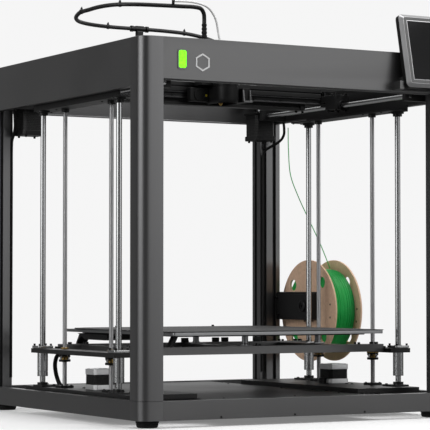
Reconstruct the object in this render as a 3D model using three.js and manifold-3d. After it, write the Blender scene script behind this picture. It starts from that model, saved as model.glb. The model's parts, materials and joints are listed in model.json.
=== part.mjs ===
// A large cube-frame fdm 3-D printer: four posts, folded panels, a lifting bed,
// a gantry that slides front to back, and a toolhead that slides across it.
// Millimetres, +Z up. Everything is drawn from the frame's front left corner on
// the floor, and the whole printer is then centred on the origin.
import * as THREE from 'three';
import { mergeVertices } from 'three/addons/utils/BufferGeometryUtils.js';
import Module from 'manifold-3d';

const wasm = await Module();
wasm.setup();

// ---- driving dimensions ----------------------------------------------------
const WIDTH = 622;
const DEPTH = 630;
const HEIGHT = 636;
const GAP = 0.3;

const FOOT_HEIGHT = 12;
const FOOT_RADIUS = 19;
const FOOT_INSET = [28.3, 33.4];
const POST = 40;
const POST_CORNER = 19.5;
const SLOT_WIDTH = 8;
const SLOT_START = 9;
const SLOT_DEPTH = 7;
const CHANNEL = 9;

const PANEL = 3;
const LIP = 14;
const BASE_TOP = 44;
const FRONT_HEADER_BOTTOM = 567.5;
const SIDE_HEADER_BOTTOM = 556;

const DECK_EDGE = 150;
const DECK_TOP = 42;
const PLATE_BOTTOM = 42.4;
const PLATE_TOP = 50;
const PLATE_MARGIN = 18;
const PLATE_ENDS = [84, 488];

// Z drive, measured in from each side plane and back from the front plane
const ROD_X = 28;
const ROD_YS = [135, 436.5];
const SCREW_X = 43.5;
const SCREW_YS = [194, 377];
const LIFT_Y = 286;
const MOTOR_X = 69;
const ROD_RADIUS = 5;
const SCREW_RADIUS = 4;
const PULLEY_RADIUS = 13;
const ROD_FOOT_TOP = 57.5;
const LIFT_TOP = 538;
const RAIL_BOTTOM = 546;
const RAIL_TOP = 600;
const RAIL_PLATE = [116, 456];
const RAIL_WEB_BOTTOM = 557;
const RAIL_FRONT = 41;
const RAIL_REAR = 542;
const CLAMP = 10;

// bed
const BED_SIZE = 421;
const BED_TOP = 153.8;
const SHEET = 1.4;
const BED_PLATE = 5.4;
const ARM_BOTTOM = 110.6;
const ARM_TOP = 118.5;
const ARM_LENGTH = 332;
const ARM_OUTER = 12;
const ARM_INNER = 54;
const TRUSS_BOTTOM = 112.4;
const TRUSS_XS = [104, 311, 518];
const STAND_OFFS = [[104, 286], [518, 286], [311, 200], [311, 378]];
const TRUSS_YS = [143, 404];
const TRUSS_BAR = 25;
const BAR_TOP = 126;
const BUSH_RADIUS = 9.5;
const BUSH_BOTTOM = 68.6;
const FLANGE = 30;

// gantry and toolhead
const Y_ROD_X = 64;
const Y_ROD_Z = 566;
const Y_ROD_RADIUS = 4.5;
// front end, end of the bearing, and end of the bridge that holds the beam
const CARRIAGE_YS = [262, 298, 343];
const CARRIAGE_HALF = 15;
const RAIL_FACE = 305;
const BEAM_FRONT = 312;
const BEAM_REAR = 334;
const BEAM_BOTTOM = 558;
const BEAM_TOP = 600;
const BEAM_STEP = [42, 10];
const HEAD_X = WIDTH / 2;
const NOZZLE_Y = 286;
const HEAD_BACK = RAIL_FACE - GAP;
const HEAD_PLATE = 6;
const HEAD_TOP = 612;
const COVER_RADIUS = 21;
const COVER_CENTRE_Y = 264;
const COVER_BOTTOM = 559;
const COVER_TOP = 622;
const INLET_TOP = 632;
const NOZZLE_TIP = 556.5;
const RELIEF_X = 280;
const RELIEF_Y = 292;
const RELIEF_TOP = 704;

// upper motors, one in each rear corner
const XY_MOTOR_INSET = 62;
const XY_MOTOR_X = [62, 59];
const XY_MOTOR_BOTTOM = [511, 519];
const XY_BRACKET = 570;
const XY_BODY = 44;
const XY_CAP = 48;
const MOTOR_SIZE = 42.3;

// spool at the right side
const SPOOL_Y = 509;
const SPOOL_Z = 182;
const SPOOL_LEFT = 638;
const SPOOL_WIDTH = 62;
const SPOOL_RADIUS = 100;
const SPOOL_WALL = 4;
const HUB_RADIUS = 40;
const BORE_RADIUS = 26;
const WINDOW_RADIUS = 11;
const WINDOW_PLACE = 75;
const WOUND_RADIUS = 82;
const ARM_RADIUS = 16;

// touch screen at the front right
const SCREEN_WIDTH = 124;
const SCREEN_HEIGHT = 132;
const SCREEN_THICKNESS = 18;
const SCREEN_TILT = 12;
const SCREEN_CENTRE_X = 561;
const SCREEN_BEVEL = 5;
const HINGE_Y = -24;
const HINGE_Z = 583.5;

// cords
const UMBILICAL_RADIUS = 3.8;
const TUBE_RADIUS = 2;
const FILAMENT_RADIUS = 0.9;
const POST_TOP = 729.2;
const CLAMP_X = 317;
const CLAMP_Y = 617;
const LOOP_END = 734;

// ---- finishes ---------------------------------------------------------------
const finish = (color, roughness, metalness) =>
  new THREE.MeshStandardMaterial({ color, roughness, metalness });
const ANODISED = finish(0x5f5f61, 0.42, 0.6);
const SHEET_STEEL = finish(0x606062, 0.55, 0.35);
const BLACK_STEEL = finish(0x1c1c1d, 0.5, 0.3);
const BRIGHT_STEEL = finish(0xc8c9cb, 0.22, 1);
const ALUMINIUM = finish(0xa9abae, 0.38, 0.9);
const BLACK_PLASTIC = finish(0x171718, 0.45, 0);
const RUBBER = finish(0x101010, 0.85, 0);
const PRINT_SURFACE = finish(0x4b4b4d, 0.7, 0.1);
const CARDBOARD = finish(0xb08b70, 0.9, 0);
const FILAMENT = finish(0x108a3a, 0.4, 0);
const CLEAR_TUBE = finish(0xe9e9e4, 0.3, 0);

// ---- solids -------------------------------------------------------------------
const AXES = { x: new THREE.Vector3(1, 0, 0), y: new THREE.Vector3(0, 1, 0), z: new THREE.Vector3(0, 0, 1) };

function solid(geometry) {
  const bare = geometry.clone();
  bare.deleteAttribute('normal');
  bare.deleteAttribute('uv');
  const merged = mergeVertices(bare, 1e-4);
  return new wasm.Manifold(new wasm.Mesh({
    numProp: 3,
    vertProperties: new Float32Array(merged.attributes.position.array),
    triVerts: new Uint32Array(merged.index.array),
  }));
}

function geometryOf(shape) {
  const mesh = shape.getMesh();
  const geometry = new THREE.BufferGeometry();
  geometry.setAttribute('position', new THREE.BufferAttribute(mesh.vertProperties, 3));
  geometry.setIndex(new THREE.BufferAttribute(mesh.triVerts, 1));
  geometry.computeVertexNormals();
  return geometry;
}

// A block between two x, two y and two z planes.
function block(x0, x1, y0, y1, z0, z1) {
  const geometry = new THREE.BoxGeometry(x1 - x0, y1 - y0, z1 - z0);
  geometry.translate((x0 + x1) / 2, (y0 + y1) / 2, (z0 + z1) / 2);
  return solid(geometry);
}

// A round bar along one axis: centre is the middle of its first end.
function bar(axis, radius, centre, length, sides = 24, endRadius = radius) {
  const geometry = new THREE.CylinderGeometry(endRadius, radius, length, sides);
  geometry.translate(0, length / 2, 0);
  const turn = new THREE.Quaternion().setFromUnitVectors(AXES.y, AXES[axis]);
  geometry.applyQuaternion(turn);
  geometry.translate(...centre);
  return solid(geometry);
}

// An outline in the plan view, drawn upwards from z0 to z1.
function upright(shape, z0, z1, curveSegments = 8) {
  const geometry = new THREE.ExtrudeGeometry(shape, {
    depth: z1 - z0, bevelEnabled: false, curveSegments,
  });
  geometry.translate(0, 0, z0);
  return solid(geometry);
}

// An outline in the side view (u runs along Y, v along Z), drawn from x0 to x1.
function across(shape, x0, x1, curveSegments = 8) {
  const geometry = new THREE.ExtrudeGeometry(shape, {
    depth: x1 - x0, bevelEnabled: false, curveSegments,
  });
  const turn = new THREE.Matrix4().makeBasis(AXES.y, AXES.z, AXES.x);
  geometry.applyMatrix4(turn);
  geometry.translate(x0, 0, 0);
  return solid(geometry);
}

function roundedRectangle(width, height, radius) {
  const x = width / 2;
  const y = height / 2;
  const shape = new THREE.Shape();
  shape.moveTo(-x + radius, -y);
  shape.lineTo(x - radius, -y);
  shape.absarc(x - radius, -y + radius, radius, -Math.PI / 2, 0);
  shape.lineTo(x, y - radius);
  shape.absarc(x - radius, y - radius, radius, 0, Math.PI / 2);
  shape.lineTo(-x + radius, y);
  shape.absarc(-x + radius, y - radius, radius, Math.PI / 2, Math.PI);
  shape.lineTo(-x, -y + radius);
  shape.absarc(-x + radius, -y + radius, radius, Math.PI, Math.PI * 1.5);
  return shape;
}

function tube(points, radius, sides, steps) {
  const path = new THREE.CatmullRomCurve3(points.map((p) => new THREE.Vector3(...p)), false, 'centripetal');
  const section = new THREE.Shape();
  for (let i = 0; i < sides; i += 1) {
    const angle = (i / sides) * Math.PI * 2;
    const corner = [radius * Math.cos(angle), radius * Math.sin(angle)];
    if (i === 0) section.moveTo(...corner);
    else section.lineTo(...corner);
  }
  return new THREE.ExtrudeGeometry(section, { extrudePath: path, steps, bevelEnabled: false });
}

// ---- assembly ---------------------------------------------------------------
const printer = new THREE.Group();
const frame = new THREE.Group();
printer.add(frame);

function part(name, shape, material, parent = frame) {
  const geometry = shape instanceof THREE.BufferGeometry ? shape : geometryOf(shape);
  const mesh = new THREE.Mesh(geometry, material.clone());
  mesh.name = name;
  parent.add(mesh);
  return mesh;
}

const SIDES = [['left', false], ['right', true]];
const mirrorX = (shape) => shape.mirror([1, 0, 0]).translate(WIDTH, 0, 0);
const onSide = (shape, right) => (right ? mirrorX(shape) : shape);

// The front left post: one round outer corner, a slot in each inner face and a
// square cable channel in the inner corner.
function postOutline() {
  const shape = new THREE.Shape();
  shape.moveTo(0, POST);
  shape.lineTo(0, POST_CORNER);
  shape.absarc(POST_CORNER, POST_CORNER, POST_CORNER, Math.PI, Math.PI * 1.5);
  shape.lineTo(POST, 0);
  shape.lineTo(POST, SLOT_START);
  shape.lineTo(POST - SLOT_DEPTH, SLOT_START);
  shape.lineTo(POST - SLOT_DEPTH, SLOT_START + SLOT_WIDTH);
  shape.lineTo(POST, SLOT_START + SLOT_WIDTH);
  shape.lineTo(POST, POST - CHANNEL);
  shape.lineTo(POST - CHANNEL, POST - CHANNEL);
  shape.lineTo(POST - CHANNEL, POST);
  shape.lineTo(SLOT_START + SLOT_WIDTH, POST);
  shape.lineTo(SLOT_START + SLOT_WIDTH, POST - SLOT_DEPTH);
  shape.lineTo(SLOT_START, POST - SLOT_DEPTH);
  shape.lineTo(SLOT_START, POST);
  return shape;
}

function addPostsAndFeet() {
  const post = upright(postOutline(), FOOT_HEIGHT, HEIGHT, 8);
  const foot = bar('z', FOOT_RADIUS - 2, [...FOOT_INSET, 0], FOOT_HEIGHT - GAP, 20, FOOT_RADIUS);
  for (const [side, right] of SIDES) {
    for (const [end, rear] of [['front', false], ['rear', true]]) {
      const place = (shape) => {
        const turned = rear ? shape.mirror([0, 1, 0]).translate(0, DEPTH, 0) : shape;
        return onSide(turned, right);
      };
      part(`post_${end}_${side}`, place(post), ANODISED);
      part(`foot_${end}_${side}`, place(foot), RUBBER);
    }
  }
}

// A folded panel: an upright web with a lip turned in at its top and bottom.
function channelOutline(z0, z1) {
  const shape = new THREE.Shape();
  shape.moveTo(0.6, z0);
  shape.lineTo(LIP, z0);
  shape.lineTo(LIP, z0 + 2);
  shape.lineTo(PANEL, z0 + 2);
  shape.lineTo(PANEL, z1 - 2);
  shape.lineTo(LIP, z1 - 2);
  shape.lineTo(LIP, z1);
  shape.lineTo(0.6, z1);
  return shape;
}

function frontPanel(z0, z1) {
  return across(channelOutline(z0, z1), POST + GAP, WIDTH - POST - GAP);
}

function sidePanel(z0, z1) {
  const along = across(channelOutline(z0, z1), POST + GAP, DEPTH - POST - GAP);
  return along.mirror([1, -1, 0]);
}

const toRear = (shape) => shape.mirror([0, 1, 0]).translate(0, DEPTH, 0);

// The mains inlet: a socket body behind the rear panel, open at the back.
const inletBody = () => block(96, 144, DEPTH - 28, DEPTH - 1.5, 16, 40);
const inletMouth = () => block(100, 140, DEPTH - 22, DEPTH + 1, 19, 37);

function addPanels() {
  const lensHole = block(67, 84, -1, 4, 585, 616);
  let header = frontPanel(FRONT_HEADER_BOTTOM, HEIGHT).subtract(lensHole);
  for (const x of [506, 570]) header = header.add(block(x, x + 7, -14.3, 1.5, HINGE_Z - 9, HINGE_Z + 9));
  header = header.add(block(489.5, 506.5, -13.6, 1.5, HINGE_Z - 13.5, HINGE_Z + 0.5));
  header = header.add(block(489.5, 498.4, -24, -13, HINGE_Z - 13.5, HINGE_Z + 0.5));
  part('header_front', header, SHEET_STEEL);
  const socket = block(545, 567, DEPTH - 38, DEPTH - 1.5, 596, 614);
  part('header_rear', toRear(frontPanel(SIDE_HEADER_BOTTOM, HEIGHT)).add(socket), SHEET_STEEL);
  part('base_front', frontPanel(FOOT_HEIGHT, BASE_TOP), SHEET_STEEL);
  part('base_rear', toRear(frontPanel(FOOT_HEIGHT, BASE_TOP)).add(inletBody()).subtract(inletMouth()), SHEET_STEEL);
  for (const [side, right] of SIDES) {
    part(`header_${side}`, onSide(sidePanel(SIDE_HEADER_BOTTOM, HEIGHT), right), SHEET_STEEL);
    part(`base_${side}`, onSide(sidePanel(FOOT_HEIGHT, BASE_TOP), right), SHEET_STEEL);
  }
  const deck = block(DECK_EDGE, WIDTH - DECK_EDGE, LIP + GAP, DEPTH - LIP - GAP, DECK_TOP - 2, DECK_TOP);
  const skirt = block(DECK_EDGE, DECK_EDGE + 2, LIP + GAP, DEPTH - LIP - GAP, FOOT_HEIGHT + 3, DECK_TOP);
  part('base_deck', deck.add(skirt).add(mirrorX(skirt)), SHEET_STEEL);
}

// ---- Z drive --------------------------------------------------------------------
function liftPlate() {
  let plate = block(PLATE_MARGIN, DECK_EDGE - GAP, ...PLATE_ENDS, PLATE_BOTTOM, PLATE_TOP);
  for (const y of ROD_YS) {
    plate = plate.add(block(PLATE_MARGIN, ROD_X + 22, y - 19, y + 19, PLATE_TOP - 1, PLATE_TOP + 3));
    plate = plate.add(bar('z', 9.5, [ROD_X, y, PLATE_TOP], ROD_FOOT_TOP - PLATE_TOP, 16));
  }
  for (const y of SCREW_YS) {
    plate = plate.add(block(SCREW_X - 12, SCREW_X + 12, y - 12, y + 12, PLATE_TOP - 1, PLATE_TOP + 4));
    plate = plate.subtract(bar('z', SCREW_RADIUS + 2, [SCREW_X, y, PLATE_BOTTOM - 5], 25, 12));
  }
  return plate;
}

// The upper plate that holds the rod ends, its web, and a clamp at each end of the Y rod.
function topRail() {
  let rail = block(PLATE_MARGIN, ROD_X + 28, ...RAIL_PLATE, RAIL_BOTTOM, RAIL_BOTTOM + 3);
  rail = rail.add(block(PLATE_MARGIN, PLATE_MARGIN + 3, ...RAIL_PLATE, RAIL_BOTTOM, RAIL_TOP));
  rail = rail.add(block(PLATE_MARGIN, PLATE_MARGIN + 3, RAIL_FRONT, RAIL_REAR, RAIL_WEB_BOTTOM, RAIL_TOP));
  for (const y of [RAIL_FRONT, RAIL_REAR - CLAMP]) {
    rail = rail.add(block(PLATE_MARGIN, 76, y, y + CLAMP, RAIL_WEB_BOTTOM, Y_ROD_Z + 12));
  }
  rail = rail.subtract(bar('y', Y_ROD_RADIUS + GAP, [Y_ROD_X, RAIL_FRONT - 5, Y_ROD_Z], 520, 16));
  for (const y of ROD_YS) {
    rail = rail.add(bar('z', 8.5, [ROD_X, y, LIFT_TOP], RAIL_BOTTOM - LIFT_TOP + 1, 16));
    rail = rail.add(bar('z', 12, [ROD_X, y, RAIL_BOTTOM - 3], 4, 16));
  }
  for (const y of SCREW_YS) rail = rail.add(bar('z', 7, [SCREW_X, y, LIFT_TOP + 2], RAIL_BOTTOM - LIFT_TOP, 16));
  return rail;
}

function addLiftPlates() {
  for (const [side, right] of SIDES) {
    part(`lift_plate_${side}`, onSide(liftPlate(), right), BLACK_STEEL);
    part(`top_rail_${side}`, onSide(topRail(), right), BLACK_STEEL);
  }
}

function addRodsAndScrews() {
  const rodFoot = ROD_FOOT_TOP + GAP;
  const rodLength = LIFT_TOP - GAP - rodFoot;
  const screwFoot = 24;
  const screwLength = LIFT_TOP + 2 - GAP - screwFoot;
  for (const [side, right] of SIDES) {
    for (const [index, end] of ['front', 'rear'].entries()) {
      const rod = bar('z', ROD_RADIUS, [ROD_X, ROD_YS[index], rodFoot], rodLength, 16);
      part(`z_rod_${end}_${side}`, onSide(rod, right), BRIGHT_STEEL);
      const y = SCREW_YS[index];
      const screw = bar('z', SCREW_RADIUS, [SCREW_X, y, screwFoot], screwLength, 14);
      const pulley = bar('z', PULLEY_RADIUS, [SCREW_X, y, screwFoot + 2], 9, 20);
      part(`z_screw_${end}_${side}`, onSide(screw.add(pulley), right), BRIGHT_STEEL);
    }
  }
}

// A stepper motor body with cut corners, standing on z0.
function motor(x, y, z0, z1, size = MOTOR_SIZE) {
  const half = size / 2;
  const cut = 5;
  const shape = new THREE.Shape();
  shape.moveTo(x - half + cut, y - half);
  shape.lineTo(x + half - cut, y - half);
  shape.lineTo(x + half, y - half + cut);
  shape.lineTo(x + half, y + half - cut);
  shape.lineTo(x + half - cut, y + half);
  shape.lineTo(x - half + cut, y + half);
  shape.lineTo(x - half, y + half - cut);
  shape.lineTo(x - half, y - half + cut);
  return upright(shape, z0, z1);
}

// An XY motor hanging from its bracket, with its pulley above and its rear cap below.
function driver(x, bottom) {
  const y = DEPTH - XY_MOTOR_INSET;
  const body = motor(x, y, bottom + 8, XY_BRACKET + 1, XY_BODY);
  const cap = motor(x, y, bottom, bottom + 9, XY_CAP);
  const bracket = block(x - 24, x + 24, y - 24, y + 22, XY_BRACKET, XY_BRACKET + 4);
  const pulley = bar('z', 8, [x, y, XY_BRACKET + 3], 20, 16);
  return body.add(cap).add(bracket).add(pulley);
}

function addMotors() {
  const lifter = motor(MOTOR_X, LIFT_Y, PLATE_TOP + GAP, PLATE_TOP + 36);
  for (const [index, [side, right]] of SIDES.entries()) {
    part(`z_motor_${side}`, onSide(lifter, right), ALUMINIUM);
    const shape = driver(XY_MOTOR_X[index], XY_MOTOR_BOTTOM[index]);
    part(`xy_motor_${side}`, onSide(shape, right), BLACK_PLASTIC);
  }
}

// ---- bed ------------------------------------------------------------------------
function addBed() {
  const x0 = (WIDTH - BED_SIZE) / 2;
  const y0 = LIFT_Y - BED_SIZE / 2;
  const sheetOutline = new THREE.Shape();
  sheetOutline.moveTo(x0 - 4, y0 + 14);
  sheetOutline.lineTo(x0, y0 + 6);
  sheetOutline.lineTo(x0, y0);
  sheetOutline.lineTo(x0 + BED_SIZE, y0);
  sheetOutline.lineTo(x0 + BED_SIZE, y0 + BED_SIZE);
  sheetOutline.lineTo(x0 + 40, y0 + BED_SIZE);
  sheetOutline.lineTo(x0 + 10, y0 + BED_SIZE - 20);
  sheetOutline.lineTo(x0 + 10, y0 + BED_SIZE - 36);
  sheetOutline.lineTo(x0, y0 + BED_SIZE - 42);
  sheetOutline.lineTo(x0 - 4, y0 + BED_SIZE - 50);
  part('bed_sheet', upright(sheetOutline, BED_TOP - SHEET, BED_TOP), PRINT_SURFACE);

  const plateTop = BED_TOP - SHEET - GAP;
  const plateBottom = plateTop - BED_PLATE;
  const heated = upright(roundedRectangle(BED_SIZE, BED_SIZE, 4), plateBottom, plateTop, 3);
  part('bed_plate', heated.translate(WIDTH / 2, LIFT_Y, 0), ALUMINIUM);

  // two cross bars, three long bars and the stand-offs that carry the plate
  const inner = ARM_INNER + GAP;
  const [frontBar, rearBar] = TRUSS_YS;
  let truss = block(inner, WIDTH - inner, frontBar, frontBar + TRUSS_BAR, TRUSS_BOTTOM, BAR_TOP);
  truss = truss.add(block(inner, WIDTH - inner, rearBar, rearBar + TRUSS_BAR, TRUSS_BOTTOM, BAR_TOP));
  for (const x of TRUSS_XS) {
    truss = truss.add(block(x - 15, x + 15, frontBar + 9, rearBar + 9, TRUSS_BOTTOM + 2, BAR_TOP - 2));
  }
  for (const [x, y] of STAND_OFFS) {
    truss = truss.add(bar('z', 5, [x, y, BAR_TOP - 3], plateBottom - GAP - BAR_TOP + 3, 12));
  }
  part('bed_truss', truss, SHEET_STEEL);

  let arm = block(ARM_OUTER, ARM_INNER, LIFT_Y - ARM_LENGTH / 2, LIFT_Y + ARM_LENGTH / 2, ARM_BOTTOM, ARM_TOP);
  for (const y of ROD_YS) arm = arm.subtract(bar('z', BUSH_RADIUS + GAP, [ROD_X, y, 100], 30, 20));
  for (const y of SCREW_YS) arm = arm.subtract(bar('z', 5.5, [SCREW_X, y, 100], 30, 16));
  for (const [side, right] of SIDES) {
    part(`bed_arm_${side}`, onSide(arm, right), BLACK_STEEL);
    for (const [index, end] of ['front', 'rear'].entries()) {
      part(`z_bush_${end}_${side}`, onSide(bush(ROD_YS[index]), right), BRIGHT_STEEL);
    }
  }
}

// A flanged linear bush that hangs below the arm, around its rod.
function bush(y) {
  const flangeBottom = ARM_TOP + GAP;
  const body = bar('z', BUSH_RADIUS, [ROD_X, y, BUSH_BOTTOM], flangeBottom + 1 - BUSH_BOTTOM, 20);
  const flange = upright(roundedRectangle(FLANGE, FLANGE, 4), flangeBottom, flangeBottom + 4.5, 3);
  const bore = bar('z', ROD_RADIUS + 0.4, [ROD_X, y, 60], 80, 16);
  return body.add(flange.translate(ROD_X, y, 0)).subtract(bore);
}

// ---- gantry -----------------------------------------------------------------------
function addGantry() {
  const rod = bar('y', Y_ROD_RADIUS, [Y_ROD_X, RAIL_FRONT + 1, Y_ROD_Z], RAIL_REAR - RAIL_FRONT - 2, 16);
  const [y0, y1, y2] = CARRIAGE_YS;
  const bore = bar('y', Y_ROD_RADIUS + 0.4, [Y_ROD_X, y0 - 5, Y_ROD_Z], y2 - y0 + 10, 16);
  const bearing = block(Y_ROD_X - CARRIAGE_HALF, Y_ROD_X + CARRIAGE_HALF, y0, y1, 559, 586);
  const bridge = block(Y_ROD_X - CARRIAGE_HALF, Y_ROD_X + CARRIAGE_HALF, y0, y2, 575, 586);
  const carriage = bearing.add(bridge).subtract(bore);
  for (const [side, right] of SIDES) {
    part(`y_rod_${side}`, onSide(rod, right), BRIGHT_STEEL);
    part(`y_carriage_${side}`, onSide(carriage, right), BLACK_STEEL);
  }
  const reach = Y_ROD_X + CARRIAGE_HALF + GAP;
  const [step, rise] = BEAM_STEP;
  const top = block(reach, WIDTH - reach, BEAM_FRONT, BEAM_REAR, BEAM_BOTTOM + rise, BEAM_TOP);
  const inner = reach + step;
  const middle = block(inner, WIDTH - inner, BEAM_FRONT, BEAM_REAR, BEAM_BOTTOM, BEAM_TOP);
  const rail = block(reach + 6, WIDTH - reach - 6, RAIL_FACE, BEAM_FRONT + 1, 569, 581);
  part('gantry_beam', top.add(middle).add(rail), BLACK_STEEL);
}

// ---- toolhead -----------------------------------------------------------------------
// A plate in front of the rail, a block over the beam, a wing for the cable at the left,
// a fan box on the left and a duct on the right.
function headCarriage() {
  const front = HEAD_BACK - HEAD_PLATE;
  const wall = HEAD_X - COVER_RADIUS - GAP;
  const plate = block(HEAD_X - 22, HEAD_X + 38, front, HEAD_BACK, 562, HEAD_TOP);
  const shoulder = block(HEAD_X - 38, HEAD_X, front, HEAD_BACK, 590, HEAD_TOP);
  const over = block(HEAD_X - 38, HEAD_X + 38, front, BEAM_REAR + 6, BEAM_TOP + 4, HEAD_TOP);
  const wing = block(HEAD_X - 43, wall, RELIEF_Y - 14, front + 8, HEAD_TOP - 20, HEAD_TOP);
  const fanBox = block(HEAD_X - 59, wall, front - 6, HEAD_BACK, 563, 588);
  const duct = block(HEAD_X + 27, HEAD_X + 43, 255, front + 1, 562, 587);
  return plate.add(shoulder).add(over).add(wing).add(fanBox).add(duct);
}

function headCover() {
  const back = HEAD_BACK - HEAD_PLATE - GAP;
  const outline = new THREE.Shape();
  outline.moveTo(HEAD_X - COVER_RADIUS, back);
  outline.lineTo(HEAD_X - COVER_RADIUS, COVER_CENTRE_Y);
  outline.absarc(HEAD_X, COVER_CENTRE_Y, COVER_RADIUS, Math.PI, Math.PI * 2);
  outline.lineTo(HEAD_X + COVER_RADIUS, back);
  const room = block(HEAD_X - 13, HEAD_X + 13, 256, back + 1, COVER_BOTTOM - 1, COVER_TOP - 12);
  const inlet = bar('z', 9, [HEAD_X, NOZZLE_Y, COVER_TOP - 15], 20, 16);
  return upright(outline, COVER_BOTTOM, COVER_TOP, 12).subtract(room).subtract(inlet);
}

function addToolhead() {
  part('toolhead_carriage', headCarriage(), BLACK_PLASTIC);
  part('toolhead_cover', headCover(), BLACK_PLASTIC);

  let hotend = bar('z', 10, [HEAD_X, NOZZLE_Y, 578], 26, 16);
  hotend = hotend.add(block(HEAD_X - 9, HEAD_X + 9, NOZZLE_Y - 9, NOZZLE_Y + 9, 564, 579));
  hotend = hotend.add(bar('z', 1, [HEAD_X, NOZZLE_Y, NOZZLE_TIP], 11, 12, 4));
  hotend = hotend.add(bar('z', 7, [HEAD_X, NOZZLE_Y, 603], INLET_TOP - 603, 16));
  part('hotend', hotend, ALUMINIUM);

  const reliefBottom = HEAD_TOP + GAP;
  const relief = bar('z', 7, [RELIEF_X, RELIEF_Y, reliefBottom], RELIEF_TOP - reliefBottom, 16, 4.6);
  part('cable_relief', relief, RUBBER);
}

// ---- touch screen ---------------------------------------------------------------------
// The housing leans back about the hinge below its middle.
function addScreen() {
  const outline = roundedRectangle(SCREEN_WIDTH, SCREEN_HEIGHT, 8);
  const geometry = new THREE.ExtrudeGeometry(outline, {
    depth: SCREEN_THICKNESS - 2 * SCREEN_BEVEL, bevelEnabled: true, bevelThickness: SCREEN_BEVEL,
    bevelSize: SCREEN_BEVEL, bevelOffset: -SCREEN_BEVEL, bevelSegments: 1, curveSegments: 3,
  });
  geometry.translate(0, SCREEN_HEIGHT / 2 - 12, SCREEN_BEVEL - 7);
  const lean = new THREE.Group();
  lean.position.set(SCREEN_CENTRE_X, HINGE_Y, HINGE_Z);
  lean.rotation.x = THREE.MathUtils.degToRad(90 - SCREEN_TILT);
  frame.add(lean);
  part('screen_housing', solid(geometry), BLACK_PLASTIC, lean);
}

// ---- spool ------------------------------------------------------------------------------
function addSpool() {
  const plate = block(WIDTH - 10, WIDTH + 12, 464, DEPTH - POST - GAP, 164, 219);
  const arm = bar('x', ARM_RADIUS, [WIDTH + 11, SPOOL_Y, SPOOL_Z], SPOOL_WIDTH + 10, 20);
  const lipX = SPOOL_LEFT + SPOOL_WIDTH + 2;
  const lip = bar('x', ARM_RADIUS + 3, [lipX, SPOOL_Y, SPOOL_Z], 4, 20);
  part('spool_bracket', plate.add(arm).add(lip), BLACK_PLASTIC);

  const bore = bar('x', BORE_RADIUS, [SPOOL_LEFT - 5, SPOOL_Y, SPOOL_Z], SPOOL_WIDTH + 10, 24);
  let spool = bar('x', SPOOL_RADIUS, [SPOOL_LEFT, SPOOL_Y, SPOOL_Z], SPOOL_WALL, 48);
  spool = spool.add(bar('x', HUB_RADIUS, [SPOOL_LEFT, SPOOL_Y, SPOOL_Z], SPOOL_WIDTH, 24));
  const farWall = SPOOL_LEFT + SPOOL_WIDTH - SPOOL_WALL;
  spool = spool.add(bar('x', SPOOL_RADIUS, [farWall, SPOOL_Y, SPOOL_Z], SPOOL_WALL, 48));
  part('spool', spool.subtract(bore).subtract(windows()), CARDBOARD);

  const woundLeft = SPOOL_LEFT + SPOOL_WALL + GAP;
  const woundWidth = SPOOL_WIDTH - 2 * (SPOOL_WALL + GAP);
  const wound = bar('x', WOUND_RADIUS, [woundLeft, SPOOL_Y, SPOOL_Z], woundWidth, 48);
  const core = bar('x', HUB_RADIUS + GAP, [woundLeft - 1, SPOOL_Y, SPOOL_Z], woundWidth + 2, 24);
  part('filament_winding', wound.subtract(core), FILAMENT);
}

// Four round windows through each spool wall.
function windows() {
  let cuts = null;
  for (const turn of [42, 132, 222, 312]) {
    const angle = THREE.MathUtils.degToRad(turn);
    const y = SPOOL_Y + WINDOW_PLACE * Math.cos(angle);
    const z = SPOOL_Z + WINDOW_PLACE * Math.sin(angle);
    for (const x of [SPOOL_LEFT - 1, SPOOL_LEFT + SPOOL_WIDTH - SPOOL_WALL - 0.2]) {
      const cut = bar('x', WINDOW_RADIUS, [x, y, z], SPOOL_WALL + 1.2, 16);
      cuts = cuts ? cuts.add(cut) : cut;
    }
  }
  return cuts;
}

// ---- cords --------------------------------------------------------------------------------
function addCablePost() {
  const foot = block(CLAMP_X - 18, CLAMP_X + 18, CLAMP_Y - 9, CLAMP_Y + 9, HEIGHT + GAP, HEIGHT + 4);
  const stem = block(CLAMP_X - 6.5, CLAMP_X + 6.5, CLAMP_Y - 5, CLAMP_Y + 5, HEIGHT + 3, POST_TOP);
  part('cable_post', foot.add(stem), BLACK_PLASTIC);
}

// from the top of the strain relief, out over the left side, to the middle of the loop
const LOOP_FRONT = [
  [RELIEF_X, RELIEF_Y, RELIEF_TOP + GAP], [RELIEF_X, RELIEF_Y, 712], [278, 290, 722], [270, 286, 730],
  [256, 284, 732], [230, 287, 732], [191, 297, 732.5], [155, 317, 734], [131, 350, 736],
  [118, 390, 736], [112, 426, LOOP_END], [112, 441, LOOP_END],
];
// on around the back, over the clamp, and down behind the rear header
const LOOP_REAR = [
  [112, 441 + GAP, LOOP_END], [112, 456, LOOP_END], [119, 490, 730], [137, 524, 728.5],
  [167, 563, 730], [207, 594, 731.5], [255, 612, 732.5], [CLAMP_X, CLAMP_Y, 733],
  [371, 619, 733], [430, 619, 730], [480, 619, 721], [518, 618, 706], [542, 615, 684],
  [553, 610, 660], [556, 604, 638], [556, 602, 624], [556, 602, 614 + GAP],
];

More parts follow.
